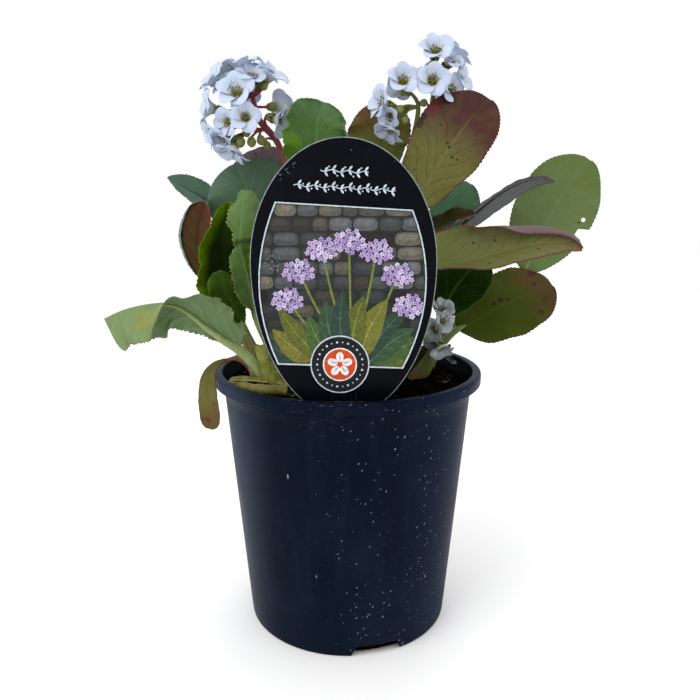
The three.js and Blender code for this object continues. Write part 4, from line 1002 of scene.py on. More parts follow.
# %% The leaves, from the left of the plant to the right and then behind the label
LEAVES = [
    dict(name="leaf_reaching_left", look="pale", stalk=(3.2, 3.0), width=21, shape=(0.5, 0.2), ruffle=1.0,
         stalk_look="pale", teeth=1.9, sink=0.42, bites_left=[(0.135, 0.03, 4.5), (0.3, 0.02, 1.5)],
         stem=[(-46, -37, 146), (-48, -38, 162), (-55, -38, 173)],
         rib=[(-62, -38, 180), (-71, -39, 188), (-80, -40, 195), (-88, -41, 202), (-97, -42, 207),
              (-109, -43, 207), (-123, -44, 204), (-135, -45, 199)],
         face=[(0.1, 0.8, 0.6), (0, 0.75, 0.65), (-0.1, 0.55, 0.85), (0, 0.1, 1), (0, 0, 1)],
         fold_left=[25, 20, -5, -65, -80], fold_right=[-10, -25, -45, -60, -60],
         curl_left=[10, -5, -20, -15, -10], curl_right=[-10, -10, -20, -20, -20],
         spread_left=[1.5, 1.4, 1.3, 1.22, 1.16, 1.12, 1.08, 1.04, 1, 1, 1.42],
         spread_right=[0.33, 0.38, 0.65, 1, 1.02, 0.9]),
    dict(name="leaf_left_point", look="steel", width=11.5, shape=(0.75, 0.8), wave=0.2, stalk_look="steel",
         stem=[(-42, -6, 146), (-46, 14, 185), (-54, 28, 222)],
         rib=[(-78, 34, 255), (-90, 36, 262), (-102, 37, 269), (-116, 38, 277)],
         face=[(-0.3, 0.6, 0.7)], fold=[10]),
    dict(name="leaf_left_round", look="sage", width=27.5,
         stem=[(-36, -13, 146), (-41, 2, 180), (-48, 14, 208)],
         rib=[(-50, 18, 232), (-56, 20, 250), (-62, 21, 268), (-70, 22, 285)],
         face=[(-0.1, -0.85, 0.5)], fold=[8]),
    dict(name="leaf_left_purple", look="plum", width=25.5, stalk_look="olive",
         stem=[(-34, -3, 146), (-36, 14, 190), (-42, 26, 215)],
         rib=[(-45, 29, 238), (-49, 30, 260), (-54, 30, 279), (-59, 30, 294)],
         face=[(-0.1, -0.9, 0.4)]),
    dict(name="leaf_left_red", look="rust", width=13.4, stalk_look="olive", wave=0.2,
         stem=[(-52, -11, 146), (-62, 2, 172), (-76, 10, 196)],
         rib=[(-87, 12, 212), (-91, 12, 225), (-93, 12, 242), (-88, 12, 262)],
         face=[(-0.35, -0.85, 0.3)], fold=[20], roll_left=[90, 150, 160, 110], roll_from=0.8),
    dict(name="leaf_left_cupped", look="lime", width=18, shape=(0.28, 0.5), ruffle=0.5, teeth=1.5,
         stem=[(-52, -20, 146), (-56, -14, 172)],
         rib=[(-68, -5, 197), (-72.5, -2, 209), (-76, 1.5, 226), (-76, 3, 242), (-73, 3, 254),
              (-71, 1, 262)],
         face=[(0.1, -0.9, 0.4)], fold_left=[25, 25, 30], fold_right=[5], curl_left=[20, 30, 40],
         curl_right=[5, 5, 5], spread_left=[1.2, 1.2, 1, 0.8, 0.7], spread_right=[1.1]),
    dict(name="leaf_left_young", look="young", width=9.5, stalk=(1.8, 1.4), teeth=1.6,
         stem=[(-45, -21, 146), (-51, -17.5, 167)],
         rib=[(-62, -16.5, 190), (-68, -17, 202), (-73, -17, 212), (-77, -16, 222)],
         face=[(0.3, -0.9, 0.3)]),
    dict(name="leaf_left_curl", look="fresh", width=11, shape=(0.45, 0.35), ruffle=0.6, teeth=2.2, tuck=2.6,
         stem=[(-39, -29, 146), (-43, -26, 170)],
         rib=[(-53, -22, 193), (-56, -21, 206), (-59.5, -20, 224), (-62, -20, 237), (-61, -19, 248),
              (-60, -18, 259), (-58, -17, 269)],
         face=[(0.3, -0.9, 0.2), (0.3, -0.95, 0.2), (0, -0.95, 0.25), (-0.1, -0.95, 0.3)],
         fold_left=[10, 15, 0, -10], fold_right=[-80, -80, -75, -20, 5, 10],
         curl_left=[15, 10, 0, -20, -50], curl_right=[0, 0, 0, -20, -45, -45],
         spread_left=[0.5, 0.35, 0.85, 0.95, 0.92, 0.88, 0.7, 0.3, 0.35, 0.75, 0.95, 1, 1.1],
         spread_right=[0.3, 0.3, 0.3, 0.3, 0.3, 0.3, 0.3, 0.35, 1.15, 1.2, 1.2, 1.3, 1.2]),
    dict(name="leaf_left_dry", look="dry", width=8.2, shape=(1.5, 0.4), stalk=(1.6, 1.5), stalk_look="dry",
         teeth=0, wave=0.2,
         stem=[(-50, -24.5, 146), (-54, -23.8, 158), (-60, -23.5, 168)],
         rib=[(-66, -24, 171.5), (-72.5, -27, 171.3), (-78, -29, 168), (-81.3, -31, 161.4),
              (-81.8, -33, 151.6), (-81, -34, 141.6), (-81.4, -34, 131)],
         face=[(0.2, -0.6, 0.8), (-0.1, -0.7, 0.6), (-0.55, -0.8, 0.2), (-0.5, -0.85, 0.1)]),
    dict(name="leaf_top_green", look="grass", width=20.5, shape=(0.65, 0.42), ruffle=0.4, teeth=1.5,
         stem=[(-12, 5, 146), (-14, 6, 190), (-14, 4, 235)],
         rib=[(-18, 2, 276), (-18, 2, 292), (-18, 2, 306), (-14, 2, 319)],
         face=[(0.05, -0.95, 0.3)], fold_left=[10, 20, 20], fold_right=[5], curl_left=[0, 30, 30],
         spread_left=[1.3, 1.3, 1.1, 1], bites_left=[(0.64, 0.035, 4)], roll_right=[0, 60, 120, 120, 40],
         roll_from=0.84),
    dict(name="leaf_back_brown", look="brown", width=20, stalk_look="olive",
         stem=[(8, 16, 146), (13, 20, 200), (17, 23, 240)],
         rib=[(23, 24, 280), (21, 26, 295), (19, 27, 310), (15, 28, 321)],
         face=[(0.1, -0.9, 0.4)]),
    dict(name="leaf_right_top", look="maroon", width=21, shape=(0.75, 0.42), stalk_look="shade",
         stem=[(28, -4, 146), (29, -8, 190), (34, -11, 225)],
         rib=[(37, -11, 254), (44, -11, 268), (53, -10, 284), (66, -9, 303), (80, -8, 320)],
         face=[(-0.15, -0.85, 0.5)], spread_left=[1, 1.15, 1.25, 1.2]),
    dict(name="leaf_right_blue", look="blue", width=15, stalk_look="shade",
         stem=[(33, 16, 146), (36, 15, 190), (43, 18, 215)],
         rib=[(56, 20, 232), (63, 20, 248), (70, 20, 263), (76, 20, 273)],
         face=[(0.1, -0.8, 0.6)]),
    dict(name="leaf_right_small", look="small", width=9, stalk_look="shade",
         stem=[(36, 7, 146), (37, -1, 190), (40, -7, 215)],
         rib=[(43, -8, 234), (53, -7, 245), (65, -6, 251), (76, -5, 255)],
         face=[(0.1, -0.4, 0.9)], fold=[30]),
    dict(name="leaf_right_purple", look="lilac", width=12, shape=(0.75, 0.8), stalk_look="shade", teeth=0.5,
         wave=0.2,
         stem=[(43, 5, 146), (45, 4, 190), (52, 5, 220)],
         rib=[(62, 8, 241), (79, 8, 257), (93, 9, 267.5), (105, 9, 273.5), (116, 8, 276), (125, 7, 274)],
         face=[(-0.1, 0.5, 0.87)], fold=[-20]),
    dict(name="leaf_right_far", look="meadow", width=25, shape=(0.6, 0.5),
         bites_right=[(0.445, 0.042, 8.5)],
         stem=[(49, 14, 146), (60, 17, 176), (83, 21, 192), (104, 22, 206)],
         rib=[(113, 22, 218), (121, 23, 236), (131, 25, 257), (140, 26, 274), (151, 27, 288)],
         face=[(-0.1, -0.85, 0.5)]),
    dict(name="leaf_right_long", look="olive", width=19, shape=(0.35, 0.6), stalk_look="shade", wave=0.1,
         stem=[(28, -11, 146), (31, -20, 182), (31, -27, 207)],
         rib=[(33, -29, 222), (46, -30, 227), (60, -30, 228.5), (74, -30, 230.5), (90, -30, 235),
              (108, -30.5, 239), (122, -31, 239.5), (132, -32, 236)],
         face=[(0, -0.75, 0.65)], fold_right=[20, 32, 25], curl_left=[10, 30, 55, 85, 90],
         spread_right=[0.2, 0.35, 0.9, 1.1, 1.05], spread_left=[1.2, 1.12, 1.25, 1.22, 1.1],
         roll_left=[0, 0, 70, 130, 110], roll_from=0.56),
    dict(name="leaf_right_dark", look="deep", width=17, stalk_look="shade",
         stem=[(40, -4, 146), (45, -9, 168)],
         rib=[(56, -12, 193), (62, -10, 207), (70, -7, 218), (82, -3, 230)],
         face=[(0.1, -0.7, 0.7)]),
    dict(name="leaf_right_low", look="autumn", width=24, shape=(0.55, 0.45),
         stem=[(48, 4, 146), (54, -1, 166), (60, -3, 177)],
         rib=[(68, -3, 185), (82, 1, 191), (96, 3, 199), (113, 6, 206), (127, 8, 212)],
         face=[(0, -0.7, 0.7)]),
    dict(name="leaf_back_left", look="shade", width=21,
         stem=[(-12, 16, 146), (-20, 26, 185)],
         rib=[(-28, 34, 208), (-34, 48, 232), (-40, 62, 252), (-44, 76, 262)],
         face=[(-0.2, 0.3, 0.95)], fold=[10, 5, -10]),
    dict(name="leaf_back_right", look="shade", width=22,
         stem=[(20, 18, 146), (27, 27, 180)],
         rib=[(31, 36, 200), (36, 52, 222), (40, 70, 238), (42, 86, 240)],
         face=[(0.2, 0.3, 0.95)], fold=[10, 5, -10]),
    dict(name="leaf_back_low", look="brown", width=21, stalk_look="olive",
         stem=[(0, 26, 146), (0, 38, 172)],
         rib=[(-2, 50, 184), (-4, 68, 192), (-8, 87, 191), (-10, 104, 180)],
         face=[(0, 0.1, 1)], fold=[12, 5, -15]),
    dict(name="leaf_middle_left", look="shade", width=19,
         stem=[(-18, -8, 146), (-19, -12, 175)],
         rib=[(-20, -18, 192), (-23, -28, 215), (-26, -38, 238), (-26, -47, 258)],
         face=[(0, 0.4, 0.9)], fold=[10, 5, -10]),
    dict(name="leaf_middle_right", look="grass", width=14,
         stem=[(12, -10, 146), (12, -15, 175)],
         rib=[(12, -21, 190), (13, -31, 210), (13, -43, 228), (11, -54, 240)],
         face=[(0, 0.4, 0.9)], fold=[10, 5, -10]),
]


def grow_leaf(leaf):
    """A blade and its petiole as one piece; each note is read by the upper and the under side."""
    line = Line(leaf["stem"] + leaf["rib"])
    grid, notes, thickness = blade_grid(leaf, line, chance_for(leaf["name"]))
    count = notes["edge"].size
    for name, values in notes.items():
        notes[name] = np.concatenate([values.reshape(count, -1)] * 2).squeeze()
    pile = Pile()
    pile.add(*sheet(grid, thickness), 0, under=np.repeat([0.0, 1.0], count), **notes)
    pile.add(*petiole(leaf, line), 1)
    finishes = leaf_finish(leaf["name"], LOOKS[leaf["look"]]), STALKS[leaf.get("stalk_look", "green")]
    return pile.make(leaf["name"] + "_grown", *finishes, replaces=[leaf["name"]])


leaf_faces = sum(len(grow_leaf(leaf).data.polygons) for leaf in LEAVES)
print("leaves:", len(LEAVES), "with", leaf_faces, "faces")

# %% [markdown]
# ## Flowers
# The flower heads stand on fleshy scapes. Each flower is a white bell of five petals that lap over each
# other like tiles, held in a green calyx with five round lobes on a thin pedicel. In the mouth stand
# ten stamens round a green ovary with two styles. The petals spiral a little: each one's leading edge
# lies over its neighbour, which is why the edge is lifted.

# %% Where the flowers sit
BELL_HEIGHT = 3.0
CUP_HEIGHT = 3.4
CUP_GAP = 0.3

SCAPES = [
    dict(name="left", flush="red", growth=1.1,
         line=[(-20, 5, 146), (-20, 10, 203), (-27, 13, 254), (-38, 14, 286), (-43, 13, 298),
               (-48, 12, 304), (-53, 11, 310), (-55, 10, 317), (-56, 9, 323)],
         radii=[3, 2.6, 2.3, 1.6, 2.0, 2.2, 2.0, 1.7, 1.3],
         blooms=[((-63, -4, 323), (-0.15, -0.85, 0.5), 1.4, 6, 0.2),
                 ((-58, -9, 309), (0.1, -0.95, 0.1), 1.1, 7, 0),
                 ((-69, -4, 307), (-0.5, -0.8, -0.1), 1.05, 7, 0.4),
                 ((-79, 1, 315), (-0.9, -0.35, 0.15), 1.3, 7, 0.1),
                 ((-46, 4, 333), (0.6, -0.2, 0.75), 1.4, 8, 0.3),
                 ((-41, 3, 309), (0.85, -0.3, -0.3), 1.25, 5, 0.5),
                 ((-67, 0, 293), (-0.3, -0.3, -0.9), 1.35, 5, 0.2),
                 ((-62, 9, 338), (-0.15, -0.1, 1), 1.4, 8, 0),
                 ((-63, 22, 322), (-0.1, 0.85, 0.4), 1.3, 7, 0.3),
                 ((-77, 7, 331), (-0.7, -0.4, 0.6), 1.3, 8, 0.3),
                 ((-43, 18, 318), (0.6, 0.7, 0.1), 1.2, 7, 0.1)],
         fillers=[((-70, 3, 327), (-0.45, -0.6, 0.65), 1.15, 8, 0.5),
                  ((-55, 2, 332), (0.15, -0.6, 0.8), 1.2, 8, 0.1),
                  ((-79, 6, 302), (-0.8, -0.35, -0.3), 1.2, 6, 0.4),
                  ((-73, 2, 299), (-0.5, -0.55, -0.6), 1.15, 6, 0),
                  ((-50, 12, 333), (0.5, 0.1, 0.85), 1.2, 8, 0.2),
                  ((-70, 14, 334), (-0.4, 0.3, 0.85), 1.2, 8, 0.6)],
         buds=[((-62, -1, 299), (-0.1, -0.4, -0.9), 1.3, 5), ((-56.5, 1, 299), (0.1, -0.5, -0.85), 1.3, 5),
               ((-52, 3, 300), (0.4, -0.4, -0.8), 1.3, 5), ((-49, 5, 297), (0.5, -0.3, -0.8), 1.1, 4),
               ((-59, 2, 303), (0, -0.8, -0.5), 1.2, 5), ((-50, 5, 326), (0.5, -0.5, 0.6), 1.1, 8)]),
    dict(name="middle", flush="green", growth=1.08,
         line=[(15, 6, 146), (25, 8, 227), (32, 10, 275), (39, 9, 298), (42, 9, 317), (38, 8, 324)],
         radii=[2.6, 2.4, 2.0, 1.7, 1.4, 1.0],
         blooms=[((32, 0, 330), (0.1, -0.9, 0.4), 1.25, 5, 0.1),
                 ((21, 2, 318), (-0.85, -0.45, 0.2), 1.25, 4, 0.3),
                 ((25, 2, 304), (-0.4, -0.35, -0.85), 1.2, 4, 0.2),
                 ((33, 20, 329), (-0.1, 0.8, 0.5), 1.2, 5, 0.5)],
         fillers=[((25, 1, 311), (-0.5, -0.7, -0.4), 0.95, 4, 0.6)],
         buds=[((31, 2, 316), (-0.2, -0.8, -0.5), 1.2, 4), ((38, 4, 328), (0.6, -0.6, 0.5), 1.0, 5),
               ((33, 3, 311), (0.1, -0.6, -0.8), 1.1, 4)]),
    dict(name="right", flush="green", growth=1.08,
         line=[(24, 4, 146), (35, 12, 226), (45, 14, 281), (50, 13, 310), (51, 13, 323), (54, 13, 334)],
         radii=[2.6, 2.4, 2.1, 1.8, 1.5, 1.1],
         blooms=[((51, 6, 347), (0, -0.8, 0.6), 1.35, 5, 0.3),
                 ((49, -1, 330), (0, -0.98, 0.15), 1.25, 4, 0),
                 ((65, 8, 333), (0.8, -0.4, 0.3), 1.2, 5, 0.2),
                 ((58, 9.5, 321.5), (0.4, -0.8, -0.4), 1.05, 4, 0.5),
                 ((63, 16, 345), (0.6, 0.2, 0.7), 1.25, 5, 0.4),
                 ((52, 26, 336), (-0.2, 0.9, 0.2), 1.25, 5, 0.1)],
         fillers=[((60, 3, 326), (0.55, -0.8, 0.05), 1.05, 4, 0.2),
                  ((59, 8, 342), (0.45, -0.6, 0.65), 1.1, 5, 0.6)],
         buds=[((46, 8, 320), (-0.4, -0.7, -0.4), 1.1, 3), ((52, 7, 316), (0, -0.7, -0.7), 1.1, 3)]),
    dict(name="low", flush="green", growth=1.06,
         line=[(38, -13, 146), (42, -16, 157), (48, -19, 168), (53, -22, 182), (54, -22, 194)],
         radii=[6.2, 6.0, 4.2, 1.8, 1.1],
         blooms=[((55, -27, 201), (0.2, -0.6, 0.75), 0.95, 4, 0.1),
                 ((50, -34, 191), (-0.6, -0.8, -0.1), 0.95, 3, 0.3),
                 ((53, -38, 181), (0.2, -0.65, -0.7), 0.95, 3, 0.5)],
         fillers=[((51, -32, 183), (-0.3, -0.6, -0.75), 0.85, 3, 0.2),
                  ((54.5, -31, 195), (0.4, -0.85, 0.1), 0.85, 4, 0)],
         buds=[((47.5, -29, 186), (-0.6, -0.6, -0.4), 1.1, 3)]),
]


def seat_of(middle, looks, size):
    """A bloom's own three axes, the foot of its petals and the foot of its cup."""
    axis = unit(looks)
    petal_foot = np.array(middle) - axis * BELL_HEIGHT * size
    spare = [0, 0, 1] if abs(axis[2]) < 0.9 else [1, 0, 0]
    ex = unit(np.cross(spare, axis))
    return ex, np.cross(axis, ex), axis, petal_foot, petal_foot - axis * (CUP_HEIGHT + CUP_GAP)


print("flowers:", sum(len(scape["blooms"]) for scape in SCAPES), "on", len(SCAPES), "scapes")

# %% [markdown]
# Petals are nearly white, with painted shade that turns them a touch blue towards the rim, where they
# turn from the light, and greenish in the throat, which is partly their own tint and partly painted
# shade. Hair-fine veins fan out from the claw. The calyx and the stalks are fleshy and green, flushed
# with red where the sun reaches them.

# %% Finishes of the flowers
def petal_skin(name, light, cool, vein, throat, stain):
    """Soft petals: cooler towards the rim as painted shade, veined like a fan, and green in the throat,
    partly as painted shade. stain: brown marks.
    """
    finish = Finish(name, "petal", 0.2, Subsurface_Weight=0.12)
    finish.shader.inputs["Subsurface Radius"].default_value = (0.002, 0.002, 0.0025)
    chart = finish.note("chart", "Vector")
    depth = chart.axis("Y")
    fan = chart.stretch(1, 0.1, 1).cloud(0.7, 2)
    spot = finish.place()
    # Painted shade: the petals turn bluer towards the rim.
    skin = depth.rise(3, 8.5).blend(light, cool)
    skin = skin.coat(fan.rise(0.4, 0.75) * 0.25, *vein)
    skin = skin.coat(spot.cloud(4, 3).rise(0.5, 0.8) * 0.25, 204, 198, 212)
    # The throat's yellow-green is partly the petal's own tint and partly painted shade inside the cup.
    skin = skin.coat((depth + (fan - 0.5) * 1.4).fall(0.8, 3.8) * 0.8, *throat)
    skin = skin.coat(spot.cloud(2.6, 4, 0.65).rise(0.56, 0.66) * stain, 112, 84, 58)
    return finish.wear(skin, 0.5 + fan * 0.1, fan, 0.08)


PETAL_FINISHES = {
    "fresh": petal_skin("petal_fresh", (198, 206, 218), (186, 200, 224), (164, 178, 204), (146, 142, 70), 0),
    "faded": petal_skin(
        "petal_faded", (158, 166, 166), (150, 160, 164), (132, 142, 146), (130, 124, 70), 0.55),
}

heart_finish = Finish("bloom_heart", "leaf_pale", 0.4)
spot = heart_finish.place()
knobs = spot.cloud(0.8, 2)
heart_finish.wear(knobs.rise(0.35, 0.65).blend((132, 130, 26), (100, 100, 16)), 0.4, knobs, 0.1)

anther_finish = Finish("anther", "rhizome", 0.3)
dots = anther_finish.place().cloud(0.5, 3)
anther_finish.wear(dots.rise(0.35, 0.6).blend((126, 104, 48), (104, 98, 40)), 0.6, dots, 0.1)

calyx_finish = Finish("calyx", "scape_green", 0.4)
spot = calyx_finish.place()
flush = spot.cloud(3.5, 3).rise(0.52, 0.72)
skin = spot.cloud(2, 3).blend((92, 104, 40), (126, 134, 66))
skin = skin.coat(flush * 0.5, 132, 100, 60)
pores = spot.cloud(0.5, 2)
calyx_finish.wear(skin, 0.45 + pores * 0.1, pores, 0.06)

SCAPE_FINISHES = {
    "red": stalk_finish("scape_flushed", "scape_red", (146, 68, 72), (112, 44, 52), (116, 56, 52)),
    "green": stalk_finish("scape_plain", "scape_green", (106, 118, 58), (76, 86, 36), (116, 78, 56)),
}
print("flower finishes: petals", ", ".join(PETAL_FINISHES), "and scapes", ", ".join(SCAPE_FINISHES))

# %% How one bloom is shaped
PETALS = 5
PETAL_ROWS = 13
PETAL_COLUMNS = 10
PETAL_FOOT = 1.3
PETAL_REACH = 6.2
PETAL_WRAP = 0.86
STAMENS = 10
OVARY = [(0, 0, -0.4), (0, 0, 0.4), (0, 0, 1.2), (0, 0, 2.0), (0, 0, 2.7)]
OVARY_RADII = np.array([1.1, 1.5, 1.6, 1.2, 0.7])
STYLE_RADII = np.array([0.5, 0.38, 0.42, 0.34])
THREAD_RADII = np.array([0.2, 0.16, 0.13])
POD_RADII = np.array([0.18, 0.36, 0.16])


def petal_line(u, growth):
    """A petal's middle line, as distance from the bloom's axis and height along it."""
    out = PETAL_FOOT + PETAL_REACH * growth * u**1.25
    return out, 0.4 + PETAL_REACH * growth**0.5 * (1 - (1 - u) ** 1.8) - 1.1 * u**4


def petal_grid(k, turn, size, growth, chance):
    """Rows from claw to tip in the bloom's own axes: across, across, along the axis."""
    u = 0.02 + 0.977 * (1 - (1 - np.linspace(0, 1, PETAL_ROWS + 1)) ** 1.5)
    open_out, rise = petal_line(u, growth)
    lean = 1 + chance.uniform(-0.07, 0.07) * u
    half = (0.9 * (1 - u) + 12.4 * growth * u**1.1 * (1 - u) ** 0.42) * chance.uniform(0.94, 1.05)
    middle = turn + 2 * np.pi * k / PETALS + chance.uniform(-0.06, 0.06)
    lift = np.interp(u, [0, 0.32, 0.68, 1], [0.1, 0.35, 0.8, 0.6])
    grid = []
    for v in np.linspace(1, -1, PETAL_COLUMNS + 1):
        radius = open_out * lean + 0.5 * v * lift - 0.06 * half * v * v
        angle = middle + PETAL_WRAP * v * half / np.maximum(open_out, PETAL_FOOT)
        ruffle = 0.12 * np.sin(7 * u + 3 * v + k) * u * v * v
        height = rise + lift * v + ruffle + 0.1 * half * v * v
        grid.append(np.stack([radius * np.cos(angle), radius * np.sin(angle), height], 1) * size)
    return np.stack(grid, 1), u, half


def grow_bloom(name, bloom, growth, skin, replaces=()):
    """Petals, ovary with two styles, and stamens, as one piece that looks the bloom's way."""
    middle, looks, size, _, turn = bloom
    ex, ey, axis, petal_foot, _ = seat_of(middle, looks, size)
    frame_of_bloom = np.stack([ex, ey, axis])
    chance = chance_for(name)
    pile = Pile()
    for k in range(PETALS):
        grid, u, half = petal_grid(k, turn, size, growth, chance)
        across = np.linspace(-1, 1, PETAL_COLUMNS + 1)[None] * half[:, None]
        chart = np.stack([across + 20 * k, np.broadcast_to(9 * u[:, None], across.shape), 0 * across], 2)
        thickness = (0.34 - 0.16 * u)[:, None]
        points, faces = sheet(grid @ frame_of_bloom + petal_foot, thickness)
        pile.add(points, faces, 0, chart=np.concatenate([chart.reshape(-1, 3)] * 2))

    def part(rows, radii, layer, *form):
        spots = np.array(rows, float) * size @ frame_of_bloom + petal_foot
        pile.add(*limb(spots, radii * size, *form), layer)

    part(OVARY, OVARY_RADII, 1, 12, 0.12, 2)
    for way in (1, -1):
        style = [(0.35 * way, 0, 2.2), (0.55 * way, 0, 3.0), (0.95 * way, 0, 3.8), (1.15 * way, 0, 4.3)]
        part(style, STYLE_RADII, 1, 8)
    for k in range(STAMENS):
        angle = turn + 2 * np.pi * (k + 0.5) / STAMENS + chance.uniform(-0.12, 0.12)
        top = chance.uniform(3.4, 4.8)
        lean = chance.uniform(2.0, 2.7)
        way = np.array([np.cos(angle), np.sin(angle), 0])
        bend = way * (PETAL_FOOT + lean) * 0.6 + [0, 0, top * 0.6]
        tip = way * lean + [0, 0, top]
        part([way * PETAL_FOOT + [0, 0, 0.5], bend, tip], THREAD_RADII, 1, 5)
        part([tip - [0, 0, 0.35], tip, tip + [0, 0, 0.4]], POD_RADII, 2, 7)
    return pile.make(name + "_open", skin, heart_finish, anther_finish, replaces=replaces)


bloom_faces = 0
for scape in SCAPES:
    skin = PETAL_FINISHES["faded" if scape["name"] == "low" else "fresh"]
    for i, bloom in enumerate(scape["blooms"]):
        name = f"bloom_{scape['name']}_{i + 1}"
        bloom_faces += len(grow_bloom(name, bloom, scape["growth"], skin, [name]).data.polygons)
    for i, bloom in enumerate(scape["fillers"]):
        grow_bloom(f"filler_{scape['name']}_{i + 1}", bloom, scape["growth"], skin)
print("flower faces:", bloom_faces)

# %% How one scape is shaped
CUP_RADIUS = 2.4
PEDICEL_RADIUS = 0.85
CUP_COLUMNS = 30
CUP_ROWS = 9
BUD_LENGTH = 5.2
BUD_RADIUS = 2.2


def cup_grid(cup_foot, ex, ey, axis, size):
    """The calyx: a small bell whose lip runs out into five round lobes."""
    turn = once_round(CUP_COLUMNS)[None, :, None]
    share = np.linspace(0, 1, CUP_ROWS)[:, None, None]
    radius = np.interp(share, [0, 0.12, 0.4, 0.75, 1], [0.8, 1.6, 2.15, CUP_RADIUS, CUP_RADIUS + 0.35])
    lobe = np.abs(np.cos(PETALS * turn / 2)) ** 0.7
    height = CUP_HEIGHT * share * (1 + (0.55 * lobe - 0.12) * share**2)
    radius = radius * (1 + 0.05 * lobe * share)
    rim = np.cos(turn) * ex + np.sin(turn) * ey
    return cup_foot + (rim * radius + axis * height) * min(1, size)


def grow_scape(scape):
    """A flower stalk with its pedicels, calyces and buds, as one piece."""
    line = Line(scape["line"])
    share = np.linspace(0, 1, 60)
    radius = np.interp(share, line.marks, scape["radii"])
    pile = Pile()
    pile.add(*limb(line.at(share), radius, 14, 0.07, 5), 0)
    for middle, looks, size, start, _ in scape["blooms"] + scape["fillers"]:
        ex, ey, axis, _, cup_foot = seat_of(middle, looks, size)
        origin = np.array(scape["line"][start])
        bend = origin * 0.4 + cup_foot * 0.6 - 1.5 * axis
        path = Line([origin, bend, cup_foot])
        steps = np.linspace(0, 1, 14)
        pile.add(*limb(path.at(steps), PEDICEL_RADIUS * (1 + 0.35 * (2 * steps - 1) ** 4), 10, 0.06, 4), 0)
        pile.add(*sheet(cup_grid(cup_foot, ex, ey, axis, size), 0.4, round_about=True), 1)
        floor_of_cup = [cup_foot - 0.2 * axis, cup_foot + 0.8 * axis, cup_foot + 1.6 * axis]
        pile.add(*limb(floor_of_cup, [0.9, 1.5, 1.7], 12), 1)
    for place, looks, size, start in scape["buds"]:
        axis = unit(looks)
        origin, place = np.array(scape["line"][start]), np.array(place)
        path = Line([origin, origin * 0.4 + place * 0.6 - 2 * axis, place])
        pile.add(*limb(path.at(np.linspace(0, 1, 12)), [0.75] * 12, 10, 0.06, 4), 0)
        steps = np.linspace(0, 1, 12)
        plump = BUD_RADIUS * size * np.sin(np.pi * (0.08 + 0.9 * steps)) ** 0.7
        pile.add(*limb(place + axis * BUD_LENGTH * size * steps[:, None], plump, 15, 0.1, 5), 1)
    node = "scape_" + scape["name"]
    return pile.make(node + "_grown", SCAPE_FINISHES[scape["flush"]], calyx_finish, replaces=[node])


scape_faces = [len(grow_scape(scape).data.polygons) for scape in SCAPES]
print("scape faces:", scape_faces)

# %% [markdown]
# ## The crown
# Where the petioles meet, last year's growth is left: an old stalk that has split along its length
# and lies over the soil, a stub cut off with a knife, and a pale bract that wrapped a young leaf.
# The stalk and the bract are gutters: a thin sheet bent round a line, with torn ends and rolled lips.

# %% Old stalk, bract and stub
def husk_skin(name, slot, ripe, pale, burnt):
    """Old stalk: strands along it, brown blotches, a pale torn edge and a dark brown inside."""
    finish = Finish(name, slot, 0.2)
    spot = finish.place()
    strands = spot.stretch(0.5, 0.5, 1.6).cloud(1.3, 3)
    skin = spot.cloud(7, 3).rise(0.35, 0.65).blend(ripe, pale)
    skin = skin.coat(strands.rise(0.5, 0.75) * 0.5, *ripe)
    skin = skin.coat(spot.cloud(5, 4, 0.6).rise(0.54, 0.66) * 0.75, *burnt)
    skin = skin.coat(finish.note("torn").rise(0.5, 0.9) * 0.7, 158, 152, 104)
    skin = finish.mix(finish.note("under"), skin, strands.blend((50, 32, 18), (84, 62, 30)))
    return finish.wear(skin, 0.5 + strands * 0.15, strands, 0.2)


husk_finish = husk_skin("old_stalk", "rhizome", (94, 86, 32), (122, 118, 56), (88, 54, 32))
bract_finish = husk_skin("pale_bract", "leaf_pale", (98, 104, 34), (122, 128, 58), (104, 84, 40))
stub_finish = stalk_finish("cut_stub", "rhizome", (150, 142, 96), (112, 98, 52), (158, 96, 88))
fray_finish = stalk_finish("frayed_fibre", "leaf_pale", (156, 166, 96), (112, 128, 48), (134, 128, 70))
HUSK_ROWS = 60
HUSK_COLUMNS = 41
STUB_ROWS = 34
FRAYS = 26


def grow_husk(name, points, radii, gaps, faces_to, finish, wall, cleft):
    """A stalk split along its length: a gutter round a line, open by so many degrees towards one side."""
    line = Line(points)
    chance = chance_for(name)
    ends = 0.5 + 0.5 * np.convolve(chance.uniform(-1, 1, HUSK_COLUMNS + 4), np.ones(3) / 3, "same")[2:-2]
    share = np.linspace(0, 1, HUSK_ROWS)
    step = np.linspace(0, 1, HUSK_COLUMNS)
    faces_to = np.array(faces_to)
    rows = []
    for s in share:
        shares = np.clip(s + (1 - s) * 0.07 * ends - s * 0.05 * ends[::-1], 0, 1)
        centre, ahead = line.at(shares), line.ahead(shares)
        front = unit(faces_to - ahead * (ahead @ faces_to)[:, None])
        side = np.cross(ahead, front)
        half_gap = np.radians(eased(gaps, shares)) / 2
        half_gap = half_gap * (1 + 0.25 * np.sin(23 * shares + 3) + 0.15 * np.sin(61 * shares))
        turn = half_gap + step * (2 * np.pi - 2 * half_gap)
        radius = np.interp(shares, line.marks, radii) - wall / 2
        radius = radius * (1 + 0.05 * np.cos(5 * turn) + 0.05 * np.sin(17 * shares + 2 * turn))
        lip = np.exp(-((np.minimum(step, 1 - step) / 0.09) ** 2))
        radius = radius * (1 - cleft * lip)
        rows.append(centre + radius[:, None] * (np.cos(turn)[:, None] * front + np.sin(turn)[:, None] * side))
    count = HUSK_ROWS * HUSK_COLUMNS
    lips = np.abs(np.linspace(-1, 1, HUSK_COLUMNS)) ** 12
    torn = np.maximum(lips[None], np.exp(-share / 0.03)[:, None])
    pile = Pile()
    pile.add(*sheet(np.array(rows), wall), under=np.repeat([0.0, 1.0], count), torn=np.tile(torn.ravel(), 2))
    return pile.make(name + "_grown", finish, replaces=[name])


